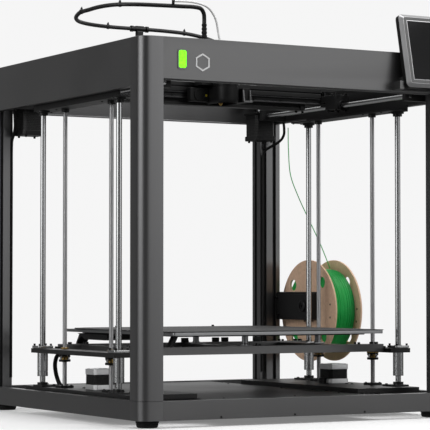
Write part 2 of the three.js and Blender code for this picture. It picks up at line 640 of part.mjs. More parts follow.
function addCords() {
  part('umbilical_front', tube(LOOP_FRONT, UMBILICAL_RADIUS, 8, 28), RUBBER);
  part('umbilical_rear', tube(LOOP_REAR, UMBILICAL_RADIUS, 8, 48), RUBBER);
  const inlet = [
    [HEAD_X, NOZZLE_Y, INLET_TOP + GAP], [310.6, NOZZLE_Y, 660], [305, 285, 690], [296, 280, 714],
    [276, 273, 732], [246, 273, 739], [212, 284, 740],
  ];
  part('feed_tube', tube(inlet, TUBE_RADIUS, 8, 20), CLEAR_TUBE);
  const strand = [
    [690, SPOOL_Y, SPOOL_Z + WOUND_RADIUS + 1.4], [669, 512, 314], [651, 515, 350], [640.5, 518, 372],
    [622, 521, 410], [607, 524, 450], [604, 527, 500], [605, 530, 545],
  ];
  part('filament_strand', tube(strand, FILAMENT_RADIUS, 8, 24), FILAMENT);
}

// ---- build -----------------------------------------------------------------------------------
addPostsAndFeet();
addPanels();
addLiftPlates();
addRodsAndScrews();
addMotors();
addBed();
addGantry();
addToolhead();
addScreen();
addSpool();
addCablePost();
addCords();

const CORDS = ['umbilical_front', 'umbilical_rear', 'feed_tube', 'filament_strand'];

// Centres the printer, without its cords, on the origin, with its feet at z = 0.
function centre() {
  printer.updateMatrixWorld(true);
  const box = new THREE.Box3();
  printer.traverse((node) => {
    if (node.isMesh && !CORDS.includes(node.name)) box.expandByObject(node, true);
  });
  const middle = box.getCenter(new THREE.Vector3());
  frame.position.set(-middle.x, -middle.y, -box.min.z);
}

centre();

export default printer;
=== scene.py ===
"""Looks of the cube-frame fdm printer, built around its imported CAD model.

Pieces are laid out in millimetres from the frame's front left corner on the floor
(X right, Y back, Z up), and at() turns such a point into the row frame in metres.
"""
import json
import math
import random

import bmesh
import bpy
from mathutils import Matrix, Vector

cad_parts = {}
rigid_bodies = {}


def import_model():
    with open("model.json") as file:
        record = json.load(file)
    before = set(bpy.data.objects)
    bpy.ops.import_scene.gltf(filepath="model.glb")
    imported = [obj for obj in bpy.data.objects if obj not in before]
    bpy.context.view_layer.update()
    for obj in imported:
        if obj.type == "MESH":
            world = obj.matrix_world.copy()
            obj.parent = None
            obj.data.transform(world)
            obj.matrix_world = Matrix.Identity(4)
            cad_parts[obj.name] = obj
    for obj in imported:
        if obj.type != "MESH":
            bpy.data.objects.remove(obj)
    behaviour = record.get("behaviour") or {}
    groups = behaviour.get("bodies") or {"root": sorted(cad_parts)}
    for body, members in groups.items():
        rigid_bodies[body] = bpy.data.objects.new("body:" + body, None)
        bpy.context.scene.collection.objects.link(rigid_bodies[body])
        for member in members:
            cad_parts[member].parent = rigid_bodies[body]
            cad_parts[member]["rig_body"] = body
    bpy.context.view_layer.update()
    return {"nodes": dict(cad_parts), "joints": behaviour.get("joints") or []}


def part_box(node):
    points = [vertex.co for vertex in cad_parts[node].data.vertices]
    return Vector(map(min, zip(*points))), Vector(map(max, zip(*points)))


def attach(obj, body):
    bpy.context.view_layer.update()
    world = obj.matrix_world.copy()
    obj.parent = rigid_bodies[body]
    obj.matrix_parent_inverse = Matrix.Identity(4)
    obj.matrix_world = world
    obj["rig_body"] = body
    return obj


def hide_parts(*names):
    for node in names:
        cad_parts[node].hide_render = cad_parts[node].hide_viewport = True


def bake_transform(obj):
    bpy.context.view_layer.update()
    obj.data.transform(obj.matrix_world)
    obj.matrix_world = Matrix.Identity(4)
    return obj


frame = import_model()

MM = 0.001
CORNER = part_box("post_front_left")[0]
WIDTH = (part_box("post_front_right")[1].x - CORNER.x) / MM
DEPTH = (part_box("post_rear_left")[1].y - CORNER.y) / MM


def at(x, y, z):
    return Vector((CORNER.x + x * MM, CORNER.y + y * MM, z * MM))


def layout_box(node):
    """Lowest and highest corner of a CAD node, in layout millimetres."""
    low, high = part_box(node)
    base = Vector((CORNER.x, CORNER.y, 0))
    return (low - base) / MM, (high - base) / MM


def joint_point(name):
    """Where a joint is, in layout millimetres."""
    joint = next(j for j in frame["joints"] if j["name"] == name)
    return (Vector(joint["pos_m"]) - Vector((CORNER.x, CORNER.y, 0))) / MM


def new_object(name, data):
    obj = bpy.data.objects.new(name, data)
    bpy.context.scene.collection.objects.link(obj)
    return obj


# ---- camera --------------------------------------------------------------------------
def make_camera():
    data = bpy.data.cameras.new("camera")
    data.lens = 170.15
    data.sensor_width = 36
    data.clip_start = 0.05
    data.clip_end = 60
    camera = new_object("camera", data)
    camera.location = at(-1515, -2899.5, 227.8)
    camera.rotation_euler = (math.radians(92.041), 0, math.radians(-29.659))
    bpy.context.scene.camera = camera


# ---- node materials ------------------------------------------------------------------
class Nodes:
    """Short names for building one material's node tree."""

    def __init__(self, name):
        self.material = bpy.data.materials.new(name)
        self.material.use_nodes = True
        self.tree = self.material.node_tree
        self.shader = self.tree.nodes["Principled BSDF"]
        self.where = self.add("ShaderNodeTexCoord").outputs["Object"]

    def add(self, kind, **settings):
        node = self.tree.nodes.new(kind)
        for key, value in settings.items():
            setattr(node, key, value)
        return node

    def link(self, source, target):
        self.tree.links.new(source, target)

    def stretched(self, scale):
        mapping = self.add("ShaderNodeMapping")
        mapping.inputs["Scale"].default_value = scale
        self.link(self.where, mapping.inputs["Vector"])
        return mapping.outputs["Vector"]

    def noise(self, scale, detail=3.0, stretch=(1, 1, 1), roughness=0.5):
        node = self.add("ShaderNodeTexNoise")
        node.inputs["Scale"].default_value = scale
        node.inputs["Detail"].default_value = detail
        node.inputs["Roughness"].default_value = roughness
        self.link(self.stretched(stretch), node.inputs["Vector"])
        return node.outputs["Fac"]

    def ramp(self, source, stops):
        node = self.add("ShaderNodeValToRGB")
        elements = node.color_ramp.elements
        while len(elements) < len(stops):
            elements.new(0.5)
        for element, (position, color) in zip(elements, stops):
            element.position = position
            element.color = (*color, 1) if len(color) == 3 else color
        self.link(source, node.inputs["Fac"])
        return node.outputs["Color"]

    def grey_ramp(self, source, low, high, start=0.3, end=0.7):
        return self.ramp(source, [(start, (low,) * 3), (end, (high,) * 3)])

    def mix(self, factor, first, second, blend="MIX"):
        node = self.add("ShaderNodeMix", data_type="RGBA", blend_type=blend)
        for value, key in ((factor, 0), (first, 6), (second, 7)):
            if isinstance(value, bpy.types.NodeSocket):
                self.link(value, node.inputs[key])
            elif key == 0:
                node.inputs[key].default_value = value
            else:
                node.inputs[key].default_value = (*value, 1)
        return node.outputs[2]

    def glow(self, amount):
        node = self.add("ShaderNodeEmission")
        node.inputs["Color"].default_value = (amount, amount, amount, 1)
        return node.outputs["Emission"]

    def blend(self, factor, first, second):
        """A mix of two shaders."""
        node = self.add("ShaderNodeMixShader")
        for key, source in enumerate((factor, first, second)):
            self.link(source, node.inputs[key])
        return node.outputs["Shader"]

    def bump(self, height, strength, distance):
        node = self.add("ShaderNodeBump")
        node.inputs["Strength"].default_value = strength
        node.inputs["Distance"].default_value = distance
        self.link(height, node.inputs["Height"])
        self.link(node.outputs["Normal"], self.shader.inputs["Normal"])

    def set(self, **values):
        for key, value in values.items():
            self.shader.inputs[key.replace("_", " ")].default_value = value


def shade(color, amount):
    return tuple(min(1.0, c * amount) for c in color)


def surface(name, color, rough, metallic=0.0, vary=0.1, patch=9, grain=1400, relief=0.2,
            depth=0.00012, stretch=(1, 1, 1), wear=0.0, rough_vary=0.06, **sockets):
    """A finish with slow colour patches, fine grain, lighter worn edges and uneven gloss."""
    n = Nodes(name)
    n.set(Metallic=metallic, **sockets)
    patches = n.noise(patch, 4, stretch)
    fine = n.noise(grain, 2, stretch)
    tone = n.ramp(patches, [(0.32, shade(color, 1 - vary)), (0.68, shade(color, 1 + vary))])
    speck = n.grey_ramp(fine, 1 - vary * 0.8, 1.0, 0.35, 0.65)
    tone = n.mix(1.0, tone, speck, "MULTIPLY")
    if wear:
        edge = n.add("ShaderNodeNewGeometry").outputs["Pointiness"]
        worn = n.grey_ramp(edge, 0, wear, 0.53, 0.62)
        tone = n.mix(worn, tone, shade(color, 2.2))
    n.link(tone, n.shader.inputs["Base Color"])
    gloss = n.grey_ramp(patches, max(0.02, rough - rough_vary), rough + rough_vary)
    n.link(gloss, n.shader.inputs["Roughness"])
    n.bump(fine, relief, depth)
    return n.material


def make_materials():
    m = {}
    brush = (1, 1, 0.02)
    m["post"] = surface("anodised_post", (0.13, 0.13, 0.132), 0.3, 0.9, vary=0.04, grain=900,
                        relief=0.05, stretch=brush, wear=0.2, rough_vary=0.03)
    m["panel"] = surface("painted_steel", (0.125, 0.125, 0.126), 0.34, 0.85, vary=0.03, grain=2200,
                         relief=0.1, wear=0.2, rough_vary=0.03)
    m["deck"] = surface("painted_deck", (0.03, 0.03, 0.0305), 0.5, 0.2, vary=0.05, grain=2200,
                        relief=0.15, wear=0.3, rough_vary=0.04, Specular_IOR_Level=0.3)
    m["black_steel"] = surface("black_steel", (0.009, 0.009, 0.0093), 0.42, 0.1, vary=0.12, grain=1700,
                               relief=0.25, wear=0.4, Specular_IOR_Level=0.35)
    m["steel"] = surface("bright_steel", (0.44, 0.445, 0.45), 0.18, 1.0, vary=0.008, grain=120,
                         relief=0.004, stretch=(1, 1, 0.02), rough_vary=0.015)
    m["rod_y"] = surface("bright_rod", (0.6, 0.605, 0.61), 0.18, 1.0, vary=0.008, grain=120,
                         relief=0.004, stretch=(1, 0.02, 1), rough_vary=0.015)
    m["thread"] = surface("screw_steel", (0.42, 0.42, 0.425), 0.44, 1.0, vary=0.03, grain=900,
                          relief=0.02)
    m["aluminium"] = surface("machined_aluminium", (0.33, 0.335, 0.34), 0.36, 1.0, vary=0.05, grain=1200,
                             relief=0.06, stretch=(0.1, 1, 1))
    m["cap"] = surface("cast_cap", (0.8, 0.805, 0.81), 0.38, 0.75, vary=0.04, grain=1500, relief=0.15)
    m["lamination"] = surface("motor_lamination", (0.012, 0.012, 0.012), 0.42, 0.4, vary=0.15, grain=1400,
                              relief=0.4, stretch=(1, 1, 8))
    m["sheet"] = surface("print_sheet", (0.016, 0.016, 0.0165), 0.6, 0.0, vary=0.14, patch=6, grain=2600,
                         relief=0.6, depth=0.0002, Specular_IOR_Level=0.4)
    m["plastic"] = surface("black_plastic", (0.0055, 0.0055, 0.0057), 0.42, vary=0.12, grain=2000,
                           relief=0.2, wear=0.2, Specular_IOR_Level=0.28)
    m["grey_plastic"] = surface("grey_plastic", (0.13, 0.13, 0.132), 0.42, vary=0.08, grain=2000,
                                relief=0.2, wear=0.3)
    m["bezel"] = surface("bezel_plastic", (0.055, 0.055, 0.056), 0.36, 0.1, vary=0.06, grain=2400,
                         relief=0.1, wear=0.2)
    # light grey trim on the screen's chamfer and round its glass: partly its own colour, partly a painted
    # highlight where the chamfer turns to the light
    m["trim_and_painted_highlight"] = surface("bezel_trim_and_painted_highlight", (0.42, 0.42, 0.425), 0.3, 0.6, vary=0.05, grain=1800, relief=0.08)
    m["rubber"] = surface("rubber", (0.006, 0.006, 0.006), 0.7, vary=0.2, grain=1300, relief=0.4,
                          Specular_IOR_Level=0.3)
    m["brass"] = surface("brass", (0.62, 0.4, 0.12), 0.28, 1.0, vary=0.08, grain=900, relief=0.1)
    m["screw"] = surface("black_screw", (0.012, 0.012, 0.012), 0.33, 0.6, vary=0.15, grain=900,
                         relief=0.2)
    m["yellow"] = surface("yellow_mark", (0.75, 0.6, 0.02), 0.45, vary=0.08, grain=900, relief=0.1)
    m["tie"] = surface("nylon_tie", (0.01, 0.01, 0.01), 0.38, vary=0.15, grain=1200, relief=0.2)
    m["cardboard"] = cardboard()
    m["filament"] = filament()
    m["tube"] = surface("clear_tube", (0.95, 0.95, 0.945), 0.3, vary=0.02, grain=500, relief=0.03)
    m["sleeve"] = sleeve()
    m["glass"] = glass()
    m["lamp"] = lamp()
    m["dark_rail"] = surface("blackened_rail", (0.03, 0.03, 0.031), 0.3, 0.8, vary=0.08, grain=900,
                             relief=0.1, stretch=(0.05, 1, 1))
    m["white"] = surface("white_print", (0.82, 0.82, 0.82), 0.5, vary=0.03, grain=1500, relief=0.05)
    m["port"] = surface("port_black", (0.004, 0.004, 0.004), 0.6, vary=0.2)
    return m


def cardboard():
    """Pressed kraft board: short fibres, slow stains and a soft mottled relief."""
    n = Nodes("kraft_board")
    n.set(Roughness=0.86)
    fibres = n.noise(420, 5, (1, 1, 0.35), 0.7)
    stains = n.noise(16, 4)
    tone = n.ramp(stains, [(0.3, (0.7, 0.47, 0.32)), (0.7, (0.79, 0.54, 0.38))])
    flecks = n.grey_ramp(fibres, 0.82, 1.08, 0.3, 0.7)
    n.link(n.mix(1.0, tone, flecks, "MULTIPLY"), n.shader.inputs["Base Color"])
    n.bump(fibres, 0.35, 0.0003)
    return n.material


def filament():
    n = Nodes("green_filament")
    n.set(Roughness=0.34, Subsurface_Weight=0.08, Subsurface_Scale=0.002)
    n.shader.inputs["Subsurface Radius"].default_value = (0.3, 1.0, 0.4)
    slow = n.noise(30, 3)
    fine = n.noise(1500, 2)
    n.link(n.ramp(slow, [(0.3, (0.006, 0.36, 0.065)), (0.7, (0.01, 0.45, 0.085))]),
           n.shader.inputs["Base Color"])
    n.bump(fine, 0.1, 0.0001)
    return n.material


def sleeve():
    """Braided sleeve: two crossing diagonal bands in the object's own space."""
    n = Nodes("braided_sleeve")
    n.set(Roughness=0.5)
    bands = []
    for turn in ((0.7, 0.7, 1), (0.7, 0.7, -1)):
        wave = n.add("ShaderNodeTexWave", wave_type="BANDS", bands_direction="DIAGONAL")
        wave.inputs["Scale"].default_value = 140
        wave.inputs["Distortion"].default_value = 0.6
        n.link(n.stretched(turn), wave.inputs["Vector"])
        bands.append(wave.outputs["Fac"])
    weave = n.add("ShaderNodeMath", operation="MULTIPLY")
    n.link(bands[0], weave.inputs[0])
    n.link(bands[1], weave.inputs[1])
    pattern = weave.outputs["Value"]
    n.link(n.ramp(pattern, [(0.1, (0.003, 0.003, 0.003)), (0.8, (0.012, 0.012, 0.0125))]),
           n.shader.inputs["Base Color"])
    n.bump(pattern, 0.5, 0.0004)
    return n.material


def glass():
    n = Nodes("black_glass")
    n.set(Specular_IOR_Level=0.22)
    smear = n.noise(14, 4)
    n.link(n.ramp(smear, [(0.3, (0.0025, 0.0025, 0.003)), (0.7, (0.004, 0.004, 0.0045))]),
           n.shader.inputs["Base Color"])
    n.link(n.grey_ramp(smear, 0.04, 0.09), n.shader.inputs["Roughness"])
    return n.material


def lamp():
    """A frosted green lens that glows with an uneven tone."""
    n = Nodes("status_lamp")
    n.set(Roughness=0.3, Emission_Strength=1.6)
    frost = n.noise(260, 2)
    n.link(n.ramp(frost, [(0.3, (0.1, 0.85, 0.0)), (0.7, (0.16, 0.98, 0.01))]),
           n.shader.inputs["Base Color"])
    n.link(n.ramp(frost, [(0.3, (0.11, 0.95, 0.0)), (0.7, (0.2, 1.0, 0.0))]),
           n.shader.inputs["Emission Color"])
    return n.material


# ---- mesh parts ----------------------------------------------------------------------
AXIS_TURN = {
    "x": Matrix(((0, 0, 1), (1, 0, 0), (0, 1, 0))),
    "y": Matrix(((1, 0, 0), (0, 0, 1), (0, 1, 0))),
    "z": Matrix.Identity(3),
}


def sharp_edges(bm, degrees=28):
    limit = math.radians(degrees)
    return [e for e in bm.edges if len(e.link_faces) == 2 and e.calc_face_angle(0) > limit]


def bevel(bm, width, segments=2):
    if width > 0:
        bmesh.ops.bevel(bm, geom=sharp_edges(bm), offset=width, segments=segments, profile=0.5,
                        affect="EDGES", clamp_overlap=True)
    return bm


def bridge(bm, low, high):
    for i in range(len(low)):
        j = (i + 1) % len(low)
        bm.faces.new((low[i], low[j], high[j], high[i]))


def skin(rings, around=False):
    """A skin over rings with equal numbers of points: capped, or joined last to first."""
    bm = bmesh.new()
    rows = [[bm.verts.new(p) for p in ring] for ring in rings]
    for low, high in zip(rows, rows[1:]):
        bridge(bm, low, high)
    if around:
        bridge(bm, rows[-1], rows[0])
    else:
        bm.faces.new(list(reversed(rows[0])))
        bm.faces.new(rows[-1])
    bmesh.ops.recalc_face_normals(bm, faces=bm.faces[:])
    return bm


def circle(radius, height, sides):
    angles = [2 * math.pi * i / sides for i in range(sides)]
    return [Vector((radius * math.cos(a), radius * math.sin(a), height)) for a in angles]


def block(x0, x1, y0, y1, z0, z1, edge=0.6, segments=2):
    corners = [(x0, y0), (x1, y0), (x1, y1), (x0, y1)]
    return bevel(skin([[(x, y, z) for x, y in corners] for z in (z0, z1)]), edge, segments)


def prism(outline, axis, start, end, edge=0.0, segments=2):
    """An outline drawn along an axis. The outline's plane is (y, z), (x, z) or (x, y)."""
    turn = AXIS_TURN[axis]
    rings = [[turn @ Vector((u, v, w)) for u, v in outline] for w in (start, end)]
    return bevel(skin(rings), edge, segments)


def hexagon_radius(radius, angle):
    step = math.radians(60)
    return radius * math.cos(step / 2) / math.cos(angle % step - step / 2)


def lathe(axis, centre, profile, sides=32):
    """Rings of (radius, height) about an axis through centre. A negative radius is a hexagon's."""
    turn = AXIS_TURN[axis]
    rings = []
    for radius, height in profile:
        ring = []
        for i in range(sides):
            a = 2 * math.pi * i / sides
            r = hexagon_radius(-radius, a) if radius < 0 else radius
            ring.append(Vector(centre) + turn @ Vector((r * math.cos(a), r * math.sin(a), height)))
        rings.append(ring)
    return skin(rings)


def rod(axis, centre, radius, length, chamfer=0.5, sides=32):
    return lathe(axis, centre, [(radius - chamfer, 0), (radius, chamfer), (radius, length - chamfer),
                                (radius - chamfer, length)], sides)


def ring_shape(axis, centre, outer, inner, length, chamfer=0.4, sides=32):
    """A bush or washer with a through bore."""
    c = chamfer
    profile = [(inner, c), (inner + c, 0), (outer - c, 0), (outer, c), (outer, length - c),
               (outer - c, length), (inner + c, length), (inner, length - c)]
    return turned(axis, centre, profile, sides)


def turned(axis, centre, profile, sides):
    """A profile of (radius, height) about an axis, closed on itself."""
    turn = AXIS_TURN[axis]
    return skin([[Vector(centre) + turn @ p for p in circle(radius, height, sides)]
                 for radius, height in profile], around=True)


def cap_screw(axis, centre, size=4, head=2.2, down=False, sides=18):
    """A socket cap screw head that stands on centre, with its hexagon socket."""
    r = size * 0.9
    h = head * 1.6
    s = -size * 0.5
    profile = [(r, 0), (r, h - 0.4), (r - 0.4, h), (s, h), (s, h * 0.45)]
    if down:
        profile = [(a, -b) for a, b in profile]
    return lathe(axis, centre, profile, sides)


def button_screw(axis, centre, radius=2.6, height=1.2, down=False, sides=16):
    """A low domed screw head with its socket."""
    profile = [(radius, 0), (radius * 0.92, height * 0.5), (radius * 0.65, height),
               (-radius * 0.45, height), (-radius * 0.4, height * 0.2)]
    if down:
        profile = [(a, -b) for a, b in profile]
    return lathe(axis, centre, profile, sides)


def smooth_path(points, per_span=6):
    """A centripetal Catmull-Rom line through the points."""
    pts = [Vector(p) for p in points]
    ends = [2 * pts[0] - pts[1]] + pts + [2 * pts[-1] - pts[-2]]
    line = []
    for k in range(1, len(ends) - 2):
        p0, p1, p2, p3 = ends[k - 1:k + 3]
        t = [0.0]
        for a, b in ((p0, p1), (p1, p2), (p2, p3)):
            t.append(t[-1] + max(1e-6, (b - a).length) ** 0.5)
        for step in range(per_span):
            u = t[1] + (t[2] - t[1]) * step / per_span
            a1 = p0 * ((t[1] - u) / (t[1] - t[0])) + p1 * ((u - t[0]) / (t[1] - t[0]))
            a2 = p1 * ((t[2] - u) / (t[2] - t[1])) + p2 * ((u - t[1]) / (t[2] - t[1]))
            a3 = p2 * ((t[3] - u) / (t[3] - t[2])) + p3 * ((u - t[2]) / (t[3] - t[2]))
            b1 = a1 * ((t[2] - u) / (t[2] - t[0])) + a2 * ((u - t[0]) / (t[2] - t[0]))
            b2 = a2 * ((t[3] - u) / (t[3] - t[1])) + a3 * ((u - t[1]) / (t[3] - t[1]))
            line.append(b1 * ((t[2] - u) / (t[2] - t[1])) + b2 * ((u - t[1]) / (t[2] - t[1])))
    line.append(pts[-1])
    return line


def frames_along(line):
    """A point, side and up vector at each point of a line, without twist."""
    out = []
    tangent = (line[1] - line[0]).normalized()
    side = tangent.orthogonal().normalized()
    for i, point in enumerate(line):
        ahead = line[min(i + 1, len(line) - 1)] - line[max(i - 1, 0)]
        ahead.normalize()
        side = (side - ahead * side.dot(ahead)).normalized()
        out.append((point, side, ahead.cross(side)))
    return out


def pipe(line, radius, sides=14):
    """A round tube along a line; radius is a number or a function of the share of its length."""
    rings = []
    last = len(line) - 1
    for i, (point, side, up) in enumerate(frames_along(line)):
        r = radius(i / last) if callable(radius) else radius
        rings.append([point + side * (r * math.cos(a)) + up * (r * math.sin(a))
                      for a in (2 * math.pi * k / sides for k in range(sides))])
    return skin(rings)


def arc_outline(corners, segments=6):
    """A polygon whose corners (x, y, radius) are rounded."""
    out = []
    count = len(corners)
    for i, (x, y, radius) in enumerate(corners):
        p = Vector((x, y))
        a = Vector(corners[i - 1][:2])
        b = Vector(corners[(i + 1) % count][:2])
        if radius <= 0:
            out.append((x, y))
            continue
        u = (a - p).normalized()
        v = (b - p).normalized()
        half = u.angle(v) / 2
        reach = radius / math.tan(half)
        centre = p + (u + v).normalized() * (radius / math.sin(half))
        start = p + u * reach - centre
        turn = start.angle_signed(p + v * reach - centre)
        for k in range(segments + 1):
            angle = -turn * k / segments
            out.append((centre.x + start.x * math.cos(angle) - start.y * math.sin(angle),
                        centre.y + start.x * math.sin(angle) + start.y * math.cos(angle)))
    return out


def rectangle(x0, x1, y0, y1, radius=0.0, segments=6):
    return arc_outline([(x0, y0, radius), (x1, y0, radius), (x1, y1, radius), (x0, y1, radius)], segments)


def pour(part, target, material=0):
    """Moves a mesh part's faces into another mesh."""
    places = {v: target.verts.new(v.co) for v in part.verts}
    for face in part.faces:
        made = target.faces.new([places[v] for v in face.verts])
        made.material_index = material
    part.free()


class Piece:
    """Gathers mesh parts in layout millimetres, then becomes one object of the printer."""

    def __init__(self, name, *materials):
        self.name = name
        self.materials = materials
        self.bm = bmesh.new()

    def add(self, *parts, mat=0):
        for part in parts:
            pour(part, self.bm, mat)
        return self

    def mesh(self):
        for v in self.bm.verts:
            v.co = at(*v.co)
        normals = corner_normals(self.bm)
        data = bpy.data.meshes.new(self.name)
        self.bm.to_mesh(data)
        self.bm.free()
        for material in self.materials:
            data.materials.append(MATERIALS[material])
        soften(data, normals)
        return data

    def place(self, body=None, slot=None, replaces=()):
        obj = new_object(self.name, self.mesh())
        if body:
            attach(obj, body)
        if replaces:
            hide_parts(*replaces)
        return obj


SMOOTH_BELOW = math.radians(32)


def corner_normals(bm):
    """A normal for every face corner in which wide faces outweigh the thin bevels beside them."""
    bm.normal_update()
    areas = {face: face.calc_area() for face in bm.faces}
    limit = math.cos(SMOOTH_BELOW)
    normals = []
    for face in bm.faces:
        own = face.normal
        for v in face.verts:
            total = own * areas[face]
            for other in v.link_faces:
                if other is not face and other.normal.dot(own) > limit:
                    total = total + other.normal * areas[other]
            normals.append(total.normalized())
    return normals


def soften(data, normals):
    data.polygons.foreach_set("use_smooth", [True] * len(data.polygons))
    data.set_sharp_from_angle(angle=SMOOTH_BELOW)
    data.normals_split_custom_set(normals)
    data.update()


def body_of(node):
    return frame["nodes"][node]["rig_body"]


def from_node(node):
    """A CAD node's own shape as a mesh part, in layout millimetres, with flat faces joined."""
    bm = bmesh.new()
    bm.from_mesh(frame["nodes"][node].data)
    for v in bm.verts:
        v.co = Vector(((v.co.x - CORNER.x) / MM, (v.co.y - CORNER.y) / MM, v.co.z / MM))
    bmesh.ops.remove_doubles(bm, verts=bm.verts[:], dist=0.002)
    bmesh.ops.dissolve_limit(bm, angle_limit=math.radians(0.6), verts=bm.verts[:], edges=bm.edges[:],
                             use_dissolve_boundaries=False)
    return bm


def refine(node, material, slot, edge=0.6, segments=2, extra=()):
    """The node's shape with its edges rounded, which stands for the node."""
    piece = Piece(node + "_finished", material, "screw")
    piece.add(bevel(from_node(node), edge, segments))
    piece.add(*extra, mat=1)
    return piece.place(body_of(node), slot, [node])


# ---- cords ---------------------------------------------------------------------------
UMBILICAL = 3.8
LOOP_FRONT = [
    (280, 292, 704.3), (280, 292, 712), (278, 290, 722), (270, 286, 730), (256, 284, 732),
    (230, 287, 732), (191, 297, 732.5), (155, 317, 734), (131, 350, 736), (118, 390, 736),
    (112, 426, 734), (112, 441, 734),
]
LOOP_REAR = [
    (112, 441.3, 734), (112, 456, 734), (119, 490, 730), (137, 524, 728.5), (167, 563, 730),
    (207, 594, 731.5), (255, 612, 732.5), (317, 617, 733), (371, 619, 733), (430, 619, 730),
    (480, 619, 721), (518, 618, 706), (542, 615, 684), (553, 610, 660), (556, 604, 638),
    (556, 602, 624), (556, 602, 614.3),
]
FEED = [
    (311, 286, 632.3), (310.6, 286, 660), (305, 285, 690), (296, 280, 714), (276, 273, 732),
    (246, 273, 739), (212, 284, 740),
]
STRAND = [
    (690, 509, 265.4), (669, 512, 314), (651, 515, 350), (640.5, 518, 372), (622, 521, 410),
    (607, 524, 450), (604, 527, 500), (605, 530, 545),
]
# the two bodies that each half of the loop joins, and where the bend starts and ends
REAR_BLEND = ("frame", "gantry"), ((230, 605, 732), (112, 456, 734))
FRONT_BLEND = ("gantry", "toolhead"), ((112, 441, 734), (256, 284, 732))


def bend(obj, bodies, ends):
    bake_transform(obj)


def cable_tie(name, line, share, bodies, ends, tail=(0, 0, 1)):
    """A nylon tie: a band round the cable, its square head and a short tail."""
    frames = frames_along(line)
    index = int(share * (len(frames) - 1))
    point, side, up = frames[index]
    along = side.cross(up)
    piece = Piece(name, "tie")
    piece.add(pipe([point - along * 1.6, point + along * 1.6], UMBILICAL + 0.9, 20))
    out = Vector(tail).normalized()
    head = point + out * (UMBILICAL + 1.6)
    piece.add(pipe([head - out * 1.6, head + out * 1.6], 2.2, 4))
    sweep = [head + out * s + along.cross(out) * (0.06 * s * s) for s in (0, 0.9, 1.8, 2.7, 3.6)]
    piece.add(pipe(sweep, lambda s: 1.2 - 0.4 * s, 6))
    obj = piece.place()
    bend(obj, bodies, ends)
    return obj


def feed_tube_clip(end, line):
    """The moulded clip that holds the feed tube's end on the umbilical."""
    near = min(line, key=lambda p: (p - end).length)
    out = (end - near).normalized()
    piece = Piece("feed_tube_clip", "tie")
    line = [near - out * 1.5, near + out * 3, end - out, end + out * 2.4]
    piece.add(pipe(line, lambda s: 2.4 + 0.5 * s, 16))
    obj = piece.place()
    bend(obj, *FRONT_BLEND)
    return obj


def make_cords():
    rear = smooth_path(LOOP_REAR, 5)
    obj = Piece("umbilical_rear_sleeve", "sleeve").add(pipe(rear, UMBILICAL, 16)).place(
        None, "cable_sheath", ["umbilical_rear"])
    bend(obj, *REAR_BLEND)
    ties = [cable_tie("cable_tie_" + n, rear, s, *REAR_BLEND)
            for n, s in (("a", 0.055), ("b", 0.365), ("c", 0.55))]

    front = smooth_path(LOOP_FRONT, 5)
    obj = Piece("umbilical_front_sleeve", "sleeve").add(pipe(front, UMBILICAL, 16)).place(
        None, "cable_sheath", ["umbilical_front"])
    bend(obj, *FRONT_BLEND)
    tie = cable_tie("cable_tie_d", front, 0.71, *FRONT_BLEND)

    feed = smooth_path(FEED, 6)
    obj = Piece("feed_tube_clear", "tube").add(pipe(feed, 2.0, 12)).place(
        None, "clear_tube", ["feed_tube"])
    bend(obj, *FRONT_BLEND)
    clip = feed_tube_clip(feed[-1], front)

    strand = smooth_path(STRAND, 6)
    obj = Piece("filament_strand_thread", "filament").add(pipe(strand, 0.9, 10)).place(
        "frame", "filament", ["filament_strand"])


# ---- frame ---------------------------------------------------------------------------
POST_CORNER = 19.5
SEAM = 44


def post_outline(inset):
    """The front left post's outline with its two outer faces moved in by inset."""
    out = [(inset, 40), (inset, POST_CORNER)]
    radius = POST_CORNER - inset
    for k in range(1, 18):
        a = math.pi + math.pi / 2 * k / 18
        out.append((POST_CORNER + radius * math.cos(a), POST_CORNER + radius * math.sin(a)))
    out += [(POST_CORNER, inset), (40, inset), (40, 9), (34.5, 9), (33, 7.5), (33, 18.5), (34.5, 17),
            (40, 17), (40, 31), (31, 31), (31, 40), (17, 40), (17, 34.5), (18.5, 33), (7.5, 33),
            (9, 34.5), (9, 40)]
    return out


def make_posts():
    low, high = layout_box("post_front_left")
    levels = [(low.z, 0.5), (low.z + 0.5, 0), (SEAM - 0.4, 0), (SEAM - 0.1, 0.5), (SEAM + 0.3, 0.5),
              (SEAM + 0.6, 0), (high.z - 0.6, 0), (high.z, 0.6)]
    for end in ("front", "rear"):
        for side in ("left", "right"):
            rings = []
            for z, inset in levels:
                ring = [(WIDTH - x if side == "right" else x, DEPTH - y if end == "rear" else y, z)
                        for x, y in post_outline(inset)]
                rings.append(ring)
            node = f"post_{end}_{side}"
            piece = Piece(node + "_extrusion", "post")
            piece.add(skin(rings))
            piece.place("frame", "anodised_post", [node])
            make_foot(f"foot_{end}_{side}")


def make_foot(node):
    low, high = layout_box(node)
    centre = ((low.x + high.x) / 2, (low.y + high.y) / 2, 0)
    r = (high.x - low.x) / 2
    h = high.z
    profile = [(r - 4, 0), (r - 2.6, 0.5), (r - 1.6, 2), (r - 0.8, 5), (r - 0.8, 6), (r - 1.4, 6.3),
               (r - 1.4, 7), (r - 0.4, 7.3), (r, 8.2), (r, h - 1.2), (r - 1, h)]
    piece = Piece(node + "_moulded", "rubber")
    piece.add(lathe("z", centre, profile, 40))
    piece.place("frame", "rubber", [node])


MARK_X, MARK_Z, MARK_RADIUS = 113, 597, 15


